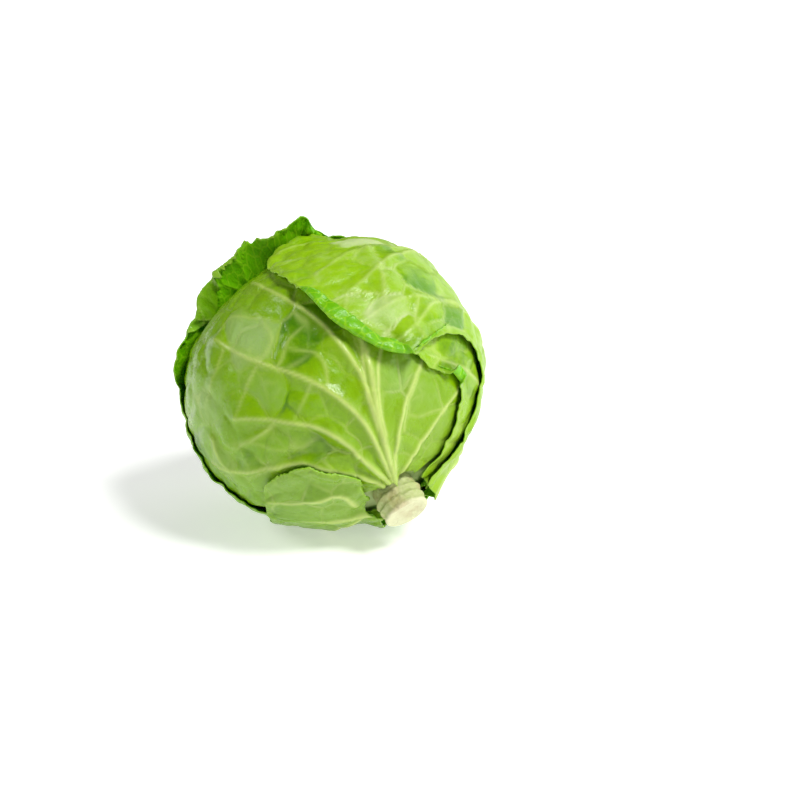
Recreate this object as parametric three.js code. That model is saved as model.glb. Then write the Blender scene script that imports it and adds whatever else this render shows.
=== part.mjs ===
// Whole cabbage head, lying on its side with the cut stem end turned forwards and down.
// Millimetres, +Z up. The origin is the middle of the small flat spot that the head rests on.
//
// Every place on the head is a direction from the head's centre, named by two angles:
// the angle away from the stem end, and the turn about the stem axis (0 is the side nearest the top).
// Each leaf is drawn in its own flattened plane: x across the leaf, y from stem to tip.
import * as THREE from "three";
import { mergeVertices } from "three/addons/utils/BufferGeometryUtils.js";

// Driving dimensions.
const CENTRE_HEIGHT = 83.2; // head centre above the resting surface
const HEART_RADIUS = 82.4; // tight inner head, at its girth
const POLE_FLATTENING = 5.5; // how much shorter the head is along its stem axis, on each end
const FRONT_FULLNESS = 3.4; // swelling of the lower front left side
const STEM_AZIMUTH = 35; // where the stem end points, to the right of straight forwards
const STEM_DIP = 36; // and how far below level
const LEAF_THICKNESS = 0.8;
const LAYER_GAP = 1; // free space between two leaves that lie on each other
const DRAPE_START = 6; // a leaf lies level this far past the margin of a lower one
const DRAPE = 12; // and comes down over this distance
const PLANE_RADIUS = 85; // radius that turns angles into millimetres in a leaf's flattened plane
const SPOT_DEPTH = 3.65; // the resting side of the heart is cut flat this far inside the centre height
const SEAT_THICKNESS = 1.3; // the lowest leaf is a little thicker, and flat where it rests
const MARGIN_BAND = 2.6; // outermost band of a leaf, which may be turned over
const STEM_RADIUS = 14.2;
const STEM_SEAT = 74.6; // distance of the heart's flat stem face from the centre
const STEM_TIP = 94; // distance of the cut face from the centre
const CLEARANCE = 0.4; // gap between the stem and the heart

const radians = THREE.MathUtils.degToRad;
const clamp01 = (x) => Math.min(1, Math.max(0, x));
const ease = (x) => clamp01(x) ** 2 * (3 - 2 * clamp01(x));
const mix = (a, b, t) => a + (b - a) * t;

// Axes of the head: out through the stem, straight up from it, and to its side.
const stemAxis = new THREE.Vector3(
  Math.sin(radians(STEM_AZIMUTH)) * Math.cos(radians(STEM_DIP)),
  -Math.cos(radians(STEM_AZIMUTH)) * Math.cos(radians(STEM_DIP)),
  -Math.sin(radians(STEM_DIP)),
);
const upAxis = new THREE.Vector3(0, 0, 1).addScaledVector(stemAxis, -stemAxis.z).normalize();
const sideAxis = new THREE.Vector3().crossVectors(upAxis, stemAxis);

// Unit direction at an angle from the stem and a turn about it, both in degrees.
function direction([fromStem, turn]) {
  const ring = Math.sin(radians(fromStem));
  return new THREE.Vector3()
    .addScaledVector(stemAxis, Math.cos(radians(fromStem)))
    .addScaledVector(upAxis, ring * Math.cos(radians(turn)))
    .addScaledVector(sideAxis, ring * Math.sin(radians(turn)));
}

// The flattened plane of a leaf: lengths and bearings from its middle are kept true.
class LeafPlane {
  constructor(turn, middle) {
    this.centre = direction([middle, turn]);
    this.tipward = direction([middle + 90, turn]);
    this.across = new THREE.Vector3().crossVectors(this.tipward, this.centre);
  }

  flatten(way) {
    const reach = PLANE_RADIUS * Math.acos(THREE.MathUtils.clamp(way.dot(this.centre), -1, 1));
    const x = way.dot(this.across);
    const y = way.dot(this.tipward);
    const size = Math.hypot(x, y) || 1;
    return new THREE.Vector2((reach * x) / size, (reach * y) / size);
  }

  direction(point) {
    const reach = point.length();
    const sine = reach > 0 ? Math.sin(reach / PLANE_RADIUS) / reach : 0;
    return new THREE.Vector3()
      .addScaledVector(this.centre, Math.cos(reach / PLANE_RADIUS))
      .addScaledVector(this.across, sine * point.x)
      .addScaledVector(this.tipward, sine * point.y);
  }
}

// Share of the way from a to b, and the distance, of the place on that line nearest to a point.
function nearestOn(a, b, point) {
  const run = b.clone().sub(a);
  const along = clamp01(point.clone().sub(a).dot(run) / run.lengthSq());
  return { along, gap: point.distanceTo(a.clone().addScaledVector(run, along)) };
}

// Sum of smooth bumps along a leaf's edge. The place runs 0 to 1 up the left side and 1 to 2 down the right.
function alongEdge(bumps, place) {
  return bumps.reduce((sum, [at, spread, size]) => sum + size * Math.exp(-(((place - at) / spread) ** 2)), 0);
}

// Radius of the tight inner head: a ball, shorter along the stem axis, fuller at the lower front left,
// and cut flat where it rests.
const fullSide = direction([70, -100]);
function heartRadius(way) {
  const alongStem = way.dot(stemAxis);
  const full = Math.max(0, way.dot(fullSide));
  const ball = HEART_RADIUS - POLE_FLATTENING * alongStem ** 2 + FRONT_FULLNESS * full ** 3;
  return way.z < 0 ? Math.min(ball, (CENTRE_HEIGHT - SPOT_DEPTH) / -way.z) : ball;
}

// A wrapper leaf. Its outline and midrib are given on the head, in degrees from the stem and of turn.
class Leaf {
  constructor(name, form) {
    Object.assign(this, { ...PLAIN_LEAF }, form);
    this.name = name;
    this.plane = new LeafPlane(this.turn, this.middle);
    const flat = (points) => points.map((p) => this.plane.flatten(direction(p)));
    this.tipPoint = flat([this.tip])[0];
    this.sides = [this.left, this.right].map((points) => new THREE.SplineCurve(flat([...points, this.tip])));
    this.rib = new THREE.SplineCurve(flat(this.midrib));
    this.outline = [
      ...this.sides[0].getSpacedPoints(EDGE_STEPS),
      ...this.sides[1].getSpacedPoints(EDGE_STEPS).reverse().slice(1),
    ];
    this.ridges = [{ line: this.rib.getPoints(VEIN_STEPS), ...MIDRIB }];
    for (const points of this.veins)
      this.ridges.push({ line: new THREE.SplineCurve(flat(points)).getPoints(VEIN_STEPS), ...SIDE_VEIN });
    for (const side of this.ownFan ?? [0, 1])
      for (const place of FAN_PLACES) {
        const line = [];
        for (let i = 0; i <= VEIN_STEPS; i++) line.push(this.onBlade(side, place, (0.94 * i) / VEIN_STEPS));
        this.ridges.push({ line, ...SIDE_VEIN });
      }
  }

  // Point of the blade on the curve that a side vein would take: place 0 is at the base and 1 at the tip,
  // out is 0 on the midrib and 1 at the start of the margin band.
  onBlade(side, place, out) {
    const start = this.rib.getPointAt(place ** this.crowding);
    const grow = this.rib.getTangentAt(place ** this.crowding);
    const { end, normal } = this.edgeAt(side, place);
    const chord = end.clone().sub(start);
    const reach = 0.45 * chord.length();
    chord.normalize();
    const straight = 0.3 + place ** 8;
    const leave = grow.clone().multiplyScalar(0.7).addScaledVector(chord, straight).normalize();
    const arrive = chord.clone().multiplyScalar(0.75).addScaledVector(normal, 0.25).normalize();
    const curve = new THREE.CubicBezierCurve(
      start,
      start.clone().addScaledVector(leave, reach),
      end.clone().addScaledVector(arrive, -reach),
      end,
    );
    return curve.getPoint(out);
  }

  // Start of the margin band on one side, and the way out of the leaf there.
  edgeAt(side, place) {
    const along = Math.min(1, place ** this.fanning);
    const point = this.sides[side].getPointAt(along);
    const run = this.sides[side].getTangentAt(along);
    const normal = new THREE.Vector2(-run.y, run.x).multiplyScalar(side ? -1 : 1);
    if (place === 1) normal.copy(this.tipPoint).sub(this.rib.getPoint(1)).normalize();
    return { end: point.addScaledVector(normal, -MARGIN_BAND), normal, edge: side ? 2 - along : along };
  }

  // Depth inside the outline at a direction, negative outside, and the place along the edge nearest to it.
  depth(way) {
    const point = this.plane.flatten(way);
    let inside = false;
    let nearest = Infinity;
    let edge = 0;
    for (let i = 0; i < this.outline.length; i++) {
      const a = this.outline[i];
      const b = this.outline[(i + 1) % this.outline.length];
      const crossing = a.x + ((b.x - a.x) * (point.y - a.y)) / (b.y - a.y);
      if (a.y > point.y !== b.y > point.y && point.x < crossing) inside = !inside;
      const { along, gap } = nearestOn(a, b, point);
      if (gap < nearest) {
        nearest = gap;
        edge = (i + along) / EDGE_STEPS;
      }
    }
    return { inside: inside ? nearest : -nearest, edge: Math.min(edge, 2), point };
  }

  // How far the margin stands off the head: a flare, and waves that die away inwards faster than it.
  // A leaf that lies over the margin feels its full height for some way on both sides.
  lift(place, level) {
    const past = Math.sign(place.inside) * Math.max(0, Math.abs(place.inside) - level);
    const fade = (reach) => (past > 0 ? clamp01(1 - past / reach) ** 2 : Math.exp(past / 3));
    const flare = alongEdge(this.flare, place.edge) * fade(FLARE_REACH);
    const wave = alongEdge(this.wave, place.edge) * fade(WAVE_REACH);
    return flare + wave * Math.sin(2 * Math.PI * WAVES_PER_SIDE * place.edge + this.turn);
  }

  // Raised ribs and veins at a point of the flattened leaf. A leaf that lies over them feels them wider.
  relief(point, spread = 1) {
    let height = 0;
    for (const { line, base, end, width } of this.ridges) {
      for (let i = 0; i + 1 < line.length; i++) {
        const { along, gap } = nearestOn(line[i], line[i + 1], point);
        const crest = mix(base, end, Math.sqrt((i + along) / (line.length - 1)));
        height = Math.max(height, crest * Math.exp(-((gap / (spread * width)) ** 2)));
      }
    }
    return height;
  }
}

const PLAIN_LEAF = {
  thickness: LEAF_THICKNESS,
  crowding: 1.7, // how strongly the side veins crowd towards the base of the midrib
  fanning: 0.9, // how soon they swing round to the sides
  steps: [22, 10], // of the mesh, from base to tip and from midrib to margin band
  flare: [],
  wave: [],
  roll: [],
  veins: [],
};
const DRAPED_SPREAD = 2.2;
const HIDING_START = 2; // ribs flatten out this far under the margin of a leaf above
const HIDING_REACH = 9;
const EDGE_STEPS = 40;
const VEIN_STEPS = 9;
const FLARE_REACH = 26;
const WAVE_REACH = 16;
const WAVES_PER_SIDE = 7;
const MIDRIB = { base: 5, end: 1, width: 5.4 };
const SIDE_VEIN = { base: 2.6, end: 0.8, width: 4 };
const FAN_PLACES = [0.3, 0.46, 0.62, 0.78];

// The five wrapper leaves, from the lowest layer to the outermost.
const leaves = [
  new Leaf("front_leaf", {
    turn: -20,
    middle: 80,
    crowding: 2.5,
    fanning: 0.72,
    steps: [30, 14],
    left: [[12, -66], [24, -92], [42, -112], [64, -124], [88, -128], [112, -122], [132, -98], [145, -60]],
    right: [[12, 28], [24, 52], [44, 66], [66, 74], [90, 78], [112, 72], [132, 50], [145, 16]],
    tip: [150, -22],
    midrib: [[12, -26], [32, -24.5], [47, -22], [69, -17], [100, -16], [122, -18]],
    veins: [
      [[29, -31], [44, -30.5], [50, -32.5], [58, -35.5], [69, -42], [83.5, -53], [94, -60], [107, -67]],
      [[20, -40], [34, -44], [42.5, -45.5], [50, -49], [56, -53.5], [61, -59], [68, -66], [75, -74.5]],
      [[18, -52], [27, -57], [38, -65.5], [46.5, -70], [53, -81], [65, -97], [78, -108]],
      [[45, -25.5], [61.5, -22.5], [73, -24.5], [87, -28], [108, -37], [126, -44]],
      [[32, -13], [43.5, -7], [50, -2], [54, 2], [70, 14], [92, 26]],
      [[20, 4], [34, 18], [48, 32], [64, 46], [84, 56]],
    ],
    ownFan: [],
  }),
  new Leaf("right_leaf", {
    turn: 80,
    middle: 80,
    crowding: 1.15,
    steps: [20, 9],
    left: [
      [12, 46], [27, 42], [41, 37], [50, 31], [54.5, 23], [56, 14], [59.5, 5.5], [66, 1.5], [78, 3.5],
      [97, 7], [118, 17], [136, 38],
    ],
    right: [[12, 114], [32, 126], [58, 142], [88, 150], [116, 146], [136, 126]],
    tip: [147, 80],
    midrib: [[12, 80], [40, 79], [70, 78], [96, 79], [120, 80]],
    flare: [[0.4, 0.1, 2.2]],
    wave: [[0.42, 0.09, 1.1]],
  }),
  new Leaf("top_leaf", {
    turn: 66,
    middle: 85,
    crowding: 0.55,
    fanning: 1.3,
    steps: [26, 11],
    left: [
      [12, 50], [28, 56], [42, 57], [54, 54.5], [62, 50], [67.5, 43], [69.2, 32], [68, 21], [65, 9], [62, -2],
      [66, -12.5], [74, -19.5], [83, -24.7], [94, -27.5], [104, -28.8], [113, -31.3], [126, -33.5],
      [137, -28.6], [144, -14], [147, 6],
    ],
    right: [[12, 108], [34, 134], [60, 148], [90, 149], [116, 139], [136, 110], [147, 74]],
    tip: [149, 34],
    midrib: [[12, 82], [36, 97], [62, 103], [92, 99], [122, 72]],
    veins: [
      [[86, 100], [102, 70], [110.5, 38.8], [109.4, 31.9], [111, 18], [110.7, -2.2], [104, -20]],
      [[110.5, 38.8], [103.8, 13.5], [96.7, -0.8], [91.5, -13.2], [90.2, -19]],
      [[58, 102], [75, 66], [81.5, 33.9], [82.7, 19.8], [83, 5.9], [81.1, -4.6], [79, -14]],
      [[81.5, 33.9], [80.6, 18.6], [74, 8], [69.8, -0.3], [68, -5]],
    ],
    ownFan: [1],
    flare: [[0.45, 0.13, 2.8], [0.62, 0.1, 2.4], [0.9, 0.05, 6]],
    wave: [[0.93, 0.09, 1.3], [0.4, 0.1, 0.8]],
    roll: [[0.43, 0.05, 0.8], [0.5, 0.06, 0.7], [0.57, 0.05, 0.7]],
  }),
  new Leaf("back_leaf", {
    turn: 160,
    middle: 105,
    left: [
      [12, 134], [34, 118], [60, 116], [90, 108], [112, 92], [128, 66], [138, 34], [142, 6], [147, -17],
    ],
    right: [
      [12, 193], [34, 226], [62, 238], [84, 242], [97, 245], [108, 250], [118, 256.5], [130.3, 268],
      [140.5, 284], [147, 304],
    ],
    tip: [149, 325],
    midrib: [[12, 164], [45, 169], [80, 168], [115, 163], [145, 164]],
    flare: [
      [1.06, 0.16, 9.5], [0.86, 0.07, 8.5], [0.7, 0.14, 2], [0.42, 0.16, 1.2], [1.36, 0.12, 3.6],
      [1.5, 0.08, 2],
    ],
    wave: [[1.05, 0.16, 1.1], [1.36, 0.13, 2.2]],
  }),
  new Leaf("under_leaf", {
    turn: 222,
    middle: 44,
    steps: [16, 7],
    thickness: SEAT_THICKNESS,
    left: [
      [13, 192], [24, 172], [33, 156], [42, 146], [60, 148], [73, 160], [78, 182], [71, 200], [59, 215],
      [51, 228],
    ],
    right: [
      [13, 272], [19, 290], [27, 303], [38.4, 294.4], [46.2, 289.3], [51.6, 274.2], [53, 266], [51, 255],
    ],
    tip: [51.5, 242],
    midrib: [[12, 232], [20, 233], [30, 235], [38, 238]],
    veins: [
      [[18, 262], [25.6, 277.5], [37.4, 263], [44, 258.5], [50, 258]],
      [[16, 226], [34, 205], [52, 190], [68, 184]],
    ],
    ownFan: [],
    flare: [[1.18, 0.16, 2.2], [1.45, 0.12, 1.4], [0.16, 0.12, 1.1]],
    wave: [[1.2, 0.14, 0.8]],
  }),
];

// Share of a lower leaf that a leaf above feels at a place: 1 inside its outline, 0 well outside.
const covered = (place) => ease(1 + (place.inside + DRAPE_START) / DRAPE);

// Radius of one leaf's outer face in a direction, built up layer by layer from the heart.
function leafRadius(index, way) {
  const places = leaves.map((leaf) => leaf.depth(way));
  const raised = (i, spread) => {
    const above = Math.max(0, ...places.slice(i + 1).map((place) => place.inside));
    const hidden = ease((above - HIDING_START) / HIDING_REACH);
    const shown = clamp01(1 + places[i].inside / 3);
    const relief = leaves[i].relief(places[i].point, spread) * shown * (1 - hidden);
    return leaves[i].lift(places[i], spread > 1 ? DRAPE_START : 0) + relief;
  };
  let radius = heartRadius(way) + LAYER_GAP;
  for (let i = 0; i < index; i++)
    radius += covered(places[i]) * (leaves[i].thickness + LAYER_GAP) + raised(i, DRAPED_SPREAD);
  return radius + leaves[index].thickness + raised(index, 1);
}

// Head centre plus a direction times a radius, kept at or above the resting surface.
function onHead(way, radius) {
  const point = way.clone().multiplyScalar(radius);
  point.z = Math.max(0, point.z + CENTRE_HEIGHT);
  return point;
}

const BAND_STEPS = 2; // across the margin band
const ROLL_LENGTH = 9.5; // how much of the leaf is turned over where it is rolled outwards
const ROLL_ANGLE = radians(171);
const ROLL_BEND = 0.4; // share of the turned-over length that holds the bend

// One point of the margin band: straight on where the leaf is flat, turned back over itself where it is rolled.
function bandPoint(leaf, side, place, share) {
  const { end, normal, edge } = leaf.edgeAt(side, place);
  const rolled = clamp01(alongEdge(leaf.roll, edge));
  const length = (MARGIN_BAND + ROLL_LENGTH * rolled) * share;
  const bend = ROLL_BEND * (MARGIN_BAND + ROLL_LENGTH * rolled);
  const angle = ROLL_ANGLE * rolled;
  const curved = Math.min(length, bend);
  const straight = length - curved;
  const turned = (angle * curved) / bend;
  if (angle < 1e-3) return { point: end.addScaledVector(normal, length), rise: 0 };
  const out = (bend / angle) * Math.sin(turned) + straight * Math.cos(turned);
  const rise = (bend / angle) * (1 - Math.cos(turned)) + straight * Math.sin(turned);
  return { point: end.addScaledVector(normal, out), rise };
}

// Outer face of a leaf as one open sheet of triangles, split alike on both faces later.
function leafSheet(index) {
  const leaf = leaves[index];
  const positions = [];
  const triangles = [];
  const [bladeSteps, halfSteps] = leaf.steps;
  const across = halfSteps + BAND_STEPS;
  for (const side of [0, 1]) {
    const first = positions.length / 3;
    for (let i = 0; i <= bladeSteps; i++)
      for (let j = 0; j <= across; j++) {
        const place = (i / bladeSteps) ** (1 / leaf.fanning);
        const onBand = j > halfSteps;
        const { point, rise } = onBand
          ? bandPoint(leaf, side, place, (j - halfSteps) / BAND_STEPS)
          : { point: leaf.onBlade(side, place, j / halfSteps), rise: 0 };
        const way = leaf.plane.direction(point);
        positions.push(...onHead(way, leafRadius(index, way) + rise));
      }
    for (let i = 0; i < bladeSteps; i++)
      for (let j = 0; j < across; j++) {
        const a = first + i * (across + 1) + j;
        const b = a + across + 1;
        const corner = (k) => new THREE.Vector3().fromArray(positions, 3 * k);
        const [p, q] = side ? [a + 1, b] : [b, a + 1];
        if (corner(p).distanceTo(corner(q)) < corner(a).distanceTo(corner(b + 1)))
          triangles.push(a, p, q, p, b + 1, q);
        else triangles.push(a, p, b + 1, a, b + 1, q);
      }
  }
  const sheet = new THREE.BufferGeometry();
  sheet.setAttribute("position", new THREE.Float32BufferAttribute(positions, 3));
  sheet.setIndex(triangles);
  return mergeVertices(sheet, 1e-2);
}

// Gives an open sheet its thickness, measured inwards from the face, and closes its rim.
function thicken(sheet, thickness) {
  sheet.computeVertexNormals();
  const { position, normal } = sheet.attributes;
  const count = position.count;
  const points = [...position.array];
  for (let i = 0; i < 3 * count; i++) points.push(position.array[i] - thickness * normal.array[i]);
  const faces = [...sheet.index.array];
  const edges = new Set();
  const triangles = [];
  for (let i = 0; i < faces.length; i += 3) {
    const [a, b, c] = faces.slice(i, i + 3);
    triangles.push(a, b, c, a + count, c + count, b + count);
    for (const [from, to] of [[a, b], [b, c], [c, a]]) edges.add(from * count + to);
  }
  for (const key of edges) {
    const from = Math.floor(key / count);
    const to = key % count;
    if (!edges.has(to * count + from))
      triangles.push(to, from, to + count, from, from + count, to + count);
  }
  const solid = new THREE.BufferGeometry();
  solid.setAttribute("position", new THREE.Float32BufferAttribute(points, 3));
  solid.setIndex(triangles);
  return solid;
}

// The tight inner head: a sphere moved onto the heart's radius, with the edges of its outermost leaves
// raised as a low spiral step, and a flat face for the stem.
const HEART_TURNS = 36;
const HEART_RINGS = 22;
const HEART_STEP = 0.8;
function heartGeometry() {
  const ball = new THREE.SphereGeometry(1, HEART_TURNS, HEART_RINGS);
  ball.deleteAttribute("normal");
  ball.deleteAttribute("uv");
  const heart = mergeVertices(ball, 1e-4);
  const { position } = heart.attributes;
  for (let i = 0; i < position.count; i++) {
    const local = new THREE.Vector3().fromBufferAttribute(position, i);
    const fromStem = THREE.MathUtils.radToDeg(Math.acos(THREE.MathUtils.clamp(local.y, -1, 1)));
    const turn = THREE.MathUtils.radToDeg(Math.atan2(local.z, local.x));
    const way = direction([fromStem, turn]);
    const spiral = (turn / 120 + fromStem / 150 + 9) % 1; // three leaf edges, turning as they climb
    const profile = ease(spiral * 2) * ease((1 - spiral) * 9);
    const step = HEART_STEP * (profile * ease(Math.sin(radians(fromStem)) * 2) - 1);
    const stemFace = STEM_SEAT / Math.max(way.dot(stemAxis), 0.2);
    position.setXYZ(i, ...onHead(way, Math.min(heartRadius(way) + step, stemFace)));
  }
  return heart;
}

// The cut stump: a turned profile about the stem axis, with low rings left by shed leaf bases.
function stemGeometry() {
  const length = STEM_TIP - STEM_SEAT - CLEARANCE;
  const profile = [
    [0, 0],
    [STEM_RADIUS - 1.6, 0],
    [STEM_RADIUS - 1.2, length * 0.3],
    [STEM_RADIUS, length * 0.42],
    [STEM_RADIUS - 1.1, length * 0.56],
    [STEM_RADIUS - 0.2, length * 0.68],
    [STEM_RADIUS - 1, length * 0.82],
    [STEM_RADIUS - 0.6, length * 0.94],
    [STEM_RADIUS - 2, length],
    [STEM_RADIUS * 0.45, length - 0.9],
    [0, length - 1.3],
  ].map(([radius, height]) => new THREE.Vector2(radius, height));
  const stump = new THREE.LatheGeometry(profile, 24);
  stump.deleteAttribute("normal");
  stump.deleteAttribute("uv");
  return mergeVertices(stump, 1e-3);
}

function material(color, roughness) {
  return new THREE.MeshStandardMaterial({ color, roughness, metalness: 0 });
}

function named(name, geometry, finish) {
  const mesh = new THREE.Mesh(geometry, finish);
  mesh.name = name;
  return mesh;
}

const LEAF_COLOURS = {
  front_leaf: 0x7ca832,
  right_leaf: 0x86b040,
  top_leaf: 0x9ec546,
  back_leaf: 0x4f8a12,
  under_leaf: 0x729826,
};

const cabbage = new THREE.Group();
cabbage.add(named("heart", heartGeometry(), material(0xb9d48a, 0.55)));

const stem = named("stem", stemGeometry(), material(0xd9dcb4, 0.7));
stem.quaternion.setFromUnitVectors(new THREE.Vector3(0, 1, 0), stemAxis);
stem.position.copy(stemAxis).multiplyScalar(STEM_SEAT + CLEARANCE);
stem.position.z += CENTRE_HEIGHT;
cabbage.add(stem);

leaves.forEach((leaf, index) => {
  const solid = thicken(leafSheet(index), leaf.thickness);
  cabbage.add(named(leaf.name, solid, material(LEAF_COLOURS[leaf.name], 0.45)));
});

export default cabbage;
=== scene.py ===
"""A whole head of green cabbage, lying on its side on a pale studio floor.

The head is a tight heart, a cut stem and five loose wrapper leaves. Every place on it is a direction
from its centre, named by two angles: the angle away from the stem end, and the turn about the stem axis,
0 on the side nearest the top. Each leaf is drawn in its own flattened plane. Lengths in the fields are
millimetres; meshes are made in metres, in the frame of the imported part.
"""

import logging
import math
from dataclasses import dataclass, field
from enum import Enum
from typing import Optional, Sequence

import bpy
import numpy as np
from mathutils import Matrix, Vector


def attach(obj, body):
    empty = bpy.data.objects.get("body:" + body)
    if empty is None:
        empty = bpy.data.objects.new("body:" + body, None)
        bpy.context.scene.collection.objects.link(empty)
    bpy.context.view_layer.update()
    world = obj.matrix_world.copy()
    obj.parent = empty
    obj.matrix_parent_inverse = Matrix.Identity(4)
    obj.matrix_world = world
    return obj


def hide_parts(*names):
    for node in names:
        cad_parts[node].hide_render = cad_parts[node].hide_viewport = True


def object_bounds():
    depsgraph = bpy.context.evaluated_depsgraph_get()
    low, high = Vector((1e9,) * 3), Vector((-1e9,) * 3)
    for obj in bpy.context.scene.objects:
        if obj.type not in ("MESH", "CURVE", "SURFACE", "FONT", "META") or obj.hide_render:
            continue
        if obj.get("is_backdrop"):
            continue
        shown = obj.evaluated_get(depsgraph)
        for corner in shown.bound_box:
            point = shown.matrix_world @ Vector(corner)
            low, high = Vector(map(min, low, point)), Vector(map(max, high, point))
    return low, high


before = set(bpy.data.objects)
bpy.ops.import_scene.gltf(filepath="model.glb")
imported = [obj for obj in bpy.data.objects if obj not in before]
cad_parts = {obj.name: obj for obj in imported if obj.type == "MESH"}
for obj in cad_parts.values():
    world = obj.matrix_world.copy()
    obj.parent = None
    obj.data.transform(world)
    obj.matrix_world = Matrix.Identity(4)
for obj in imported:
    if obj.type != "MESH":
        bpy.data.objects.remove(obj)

log = logging.getLogger("cabbage")

METRES = 0.001
Pair = tuple[float, float]
Bump = tuple[float, float, float]


def clamp01(values: np.ndarray) -> np.ndarray:
    """Limits values to the span from 0 to 1.

    Args:
        values: Any numbers.
    Returns:
        The same numbers, none below 0 or above 1.
    """
    return np.clip(values, 0.0, 1.0)


def ease(values: np.ndarray) -> np.ndarray:
    """Smooth step: 3 t squared minus 2 t cubed, flat at 0 and at 1.

    Args:
        values: Any numbers, limited to 0 to 1 first.
    Returns:
        The eased numbers.
    """
    t = clamp01(values)
    return t * t * (3 - 2 * t)


def shallow(depths: np.ndarray, limit: float) -> np.ndarray:
    """Keeps dips from going deeper than a limit: a dip d becomes limit times (1 minus e to the d over limit).

    Args:
        depths: Heights, negative in dips.
        limit: Greatest depth, above 0.
    Returns:
        The heights, with rises unchanged and dips eased off above the limit.
    """
    dips = np.minimum(depths, 0)
    return np.maximum(depths, 0) - limit * (1 - np.exp(dips / limit))


def unit(vectors: np.ndarray) -> np.ndarray:
    """Scales vectors to length 1.

    Args:
        vectors: Array whose last axis holds the components.
    Returns:
        The same directions at length 1; a zero vector stays zero.
    """
    size = np.linalg.norm(vectors, axis=-1, keepdims=True)
    return vectors / np.maximum(size, 1e-12)


class SmoothNoise:
    """Seeded smooth noise over a plane, between about -1 and 1, with hills one unit wide."""

    TABLE = 64

    def __init__(self, seed: int) -> None:
        """Draws the table of random heights.

        Args:
            seed: Seed of the table.
        """
        self.heights = np.random.default_rng(seed).uniform(-1, 1, (self.TABLE, self.TABLE))

    def __call__(self, x: np.ndarray, y: np.ndarray) -> np.ndarray:
        """Height at each place: the four nearest table heights, blended by the eased distance to each.

        Args:
            x: First coordinates.
            y: Second coordinates.
        Returns:
            Heights, in the shape of x.
        """
        column, row = np.floor(x).astype(int), np.floor(y).astype(int)
        across, along = ease(x - column), ease(y - row)

        def at(step_x: int, step_y: int) -> np.ndarray:
            return self.heights[(row + step_y) % self.TABLE, (column + step_x) % self.TABLE]

        near = at(0, 0) * (1 - across) + at(1, 0) * across
        far = at(0, 1) * (1 - across) + at(1, 1) * across
        return near * (1 - along) + far * along


class Quilt:
    """Cells between the finer veins: a plane split round seeds, one in every square of a shaken grid."""

    TABLE = 64
    SHAKE = 0.42  # how far a seed may lie from the middle of its square, in squares
    WARP = 0.22  # how far the walls bend, in squares
    BENDS = 1.6  # bends of the walls to a square
    REACH = (-2, -1, 0, 1, 2)  # squares searched each way for the nearest seeds
    SMALLEST = 1e-9

    def __init__(self, seed: int, size: float) -> None:
        """Draws the table of seeds.

        Args:
            seed: Seed of the table.
            size: Mean width of a cell in millimetres.
        """
        self.size = size
        draw = np.random.default_rng(seed)
        self.shifts = draw.uniform(-self.SHAKE, self.SHAKE, (self.TABLE, self.TABLE, 2))
        self.bends = SmoothNoise(seed + 100)

    def __call__(self, point: np.ndarray) -> tuple[np.ndarray, np.ndarray]:
        """Finds the cell of each point, and how far its wall is.

        The wall to another seed lies halfway, so its distance is the difference of the squared distances
        to both seeds, over twice the distance between the seeds.

        Args:
            point: Points of the flattened leaf.
        Returns:
            Distances to the nearest wall, and the middles of the cells, in millimetres.
        """
        x, y = point[:, 0] / self.size, point[:, 1] / self.size
        across, along = x * self.BENDS, y * self.BENDS
        bend = np.stack([self.bends(across, along), self.bends(across + 7, along + 5)], 1)
        place = np.stack([x, y], 1) + self.WARP * bend
        square = np.floor(place).astype(int)
        steps = [(i, j) for i in self.REACH for j in self.REACH]
        seeds = np.empty((len(steps), len(point), 2))
        for k, step in enumerate(steps):
            corner = square + step
            seeds[k] = corner + 0.5 + self.shifts[corner[:, 0] % self.TABLE, corner[:, 1] % self.TABLE]
        gaps = ((seeds - place) ** 2).sum(-1)
        nearest = gaps.argmin(0)
        own = np.take_along_axis(seeds, nearest[None, :, None], 0)[0]
        apart = np.linalg.norm(seeds - own, axis=-1)
        halves = (gaps - gaps.min(0)) / np.maximum(2 * apart, self.SMALLEST)
        walls = np.where(apart > self.SMALLEST, halves, np.inf)
        return walls.min(0) * self.size, own * self.size


class HeadAxes:
    """Axes of the head: out through the stem, straight up from it, and to its side."""

    AZIMUTH = math.radians(35)
    DIP = math.radians(36)

    def __init__(self) -> None:
        """Works the three axes out from where the stem end points."""
        flat = math.cos(self.DIP)
        self.stem = np.array(
            [math.sin(self.AZIMUTH) * flat, -math.cos(self.AZIMUTH) * flat, -math.sin(self.DIP)]
        )
        self.up = unit(np.array([0.0, 0.0, 1.0]) - self.stem[2] * self.stem)
        self.side = np.cross(self.up, self.stem)

    def direction(self, places: Sequence[Pair] | np.ndarray) -> np.ndarray:
        """Unit directions from the head's centre.

        Args:
            places: Angle from the stem and turn about it, in degrees, on the last axis.
        Returns:
            Unit vectors on the last axis.
        """
        angles = np.radians(np.asarray(places, float))
        from_stem, turn = angles[..., 0:1], angles[..., 1:2]
        ring = np.sin(from_stem)
        return (
            np.cos(from_stem) * self.stem
            + ring * np.cos(turn) * self.up
            + ring * np.sin(turn) * self.side
        )


AXES = HeadAxes()


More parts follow.
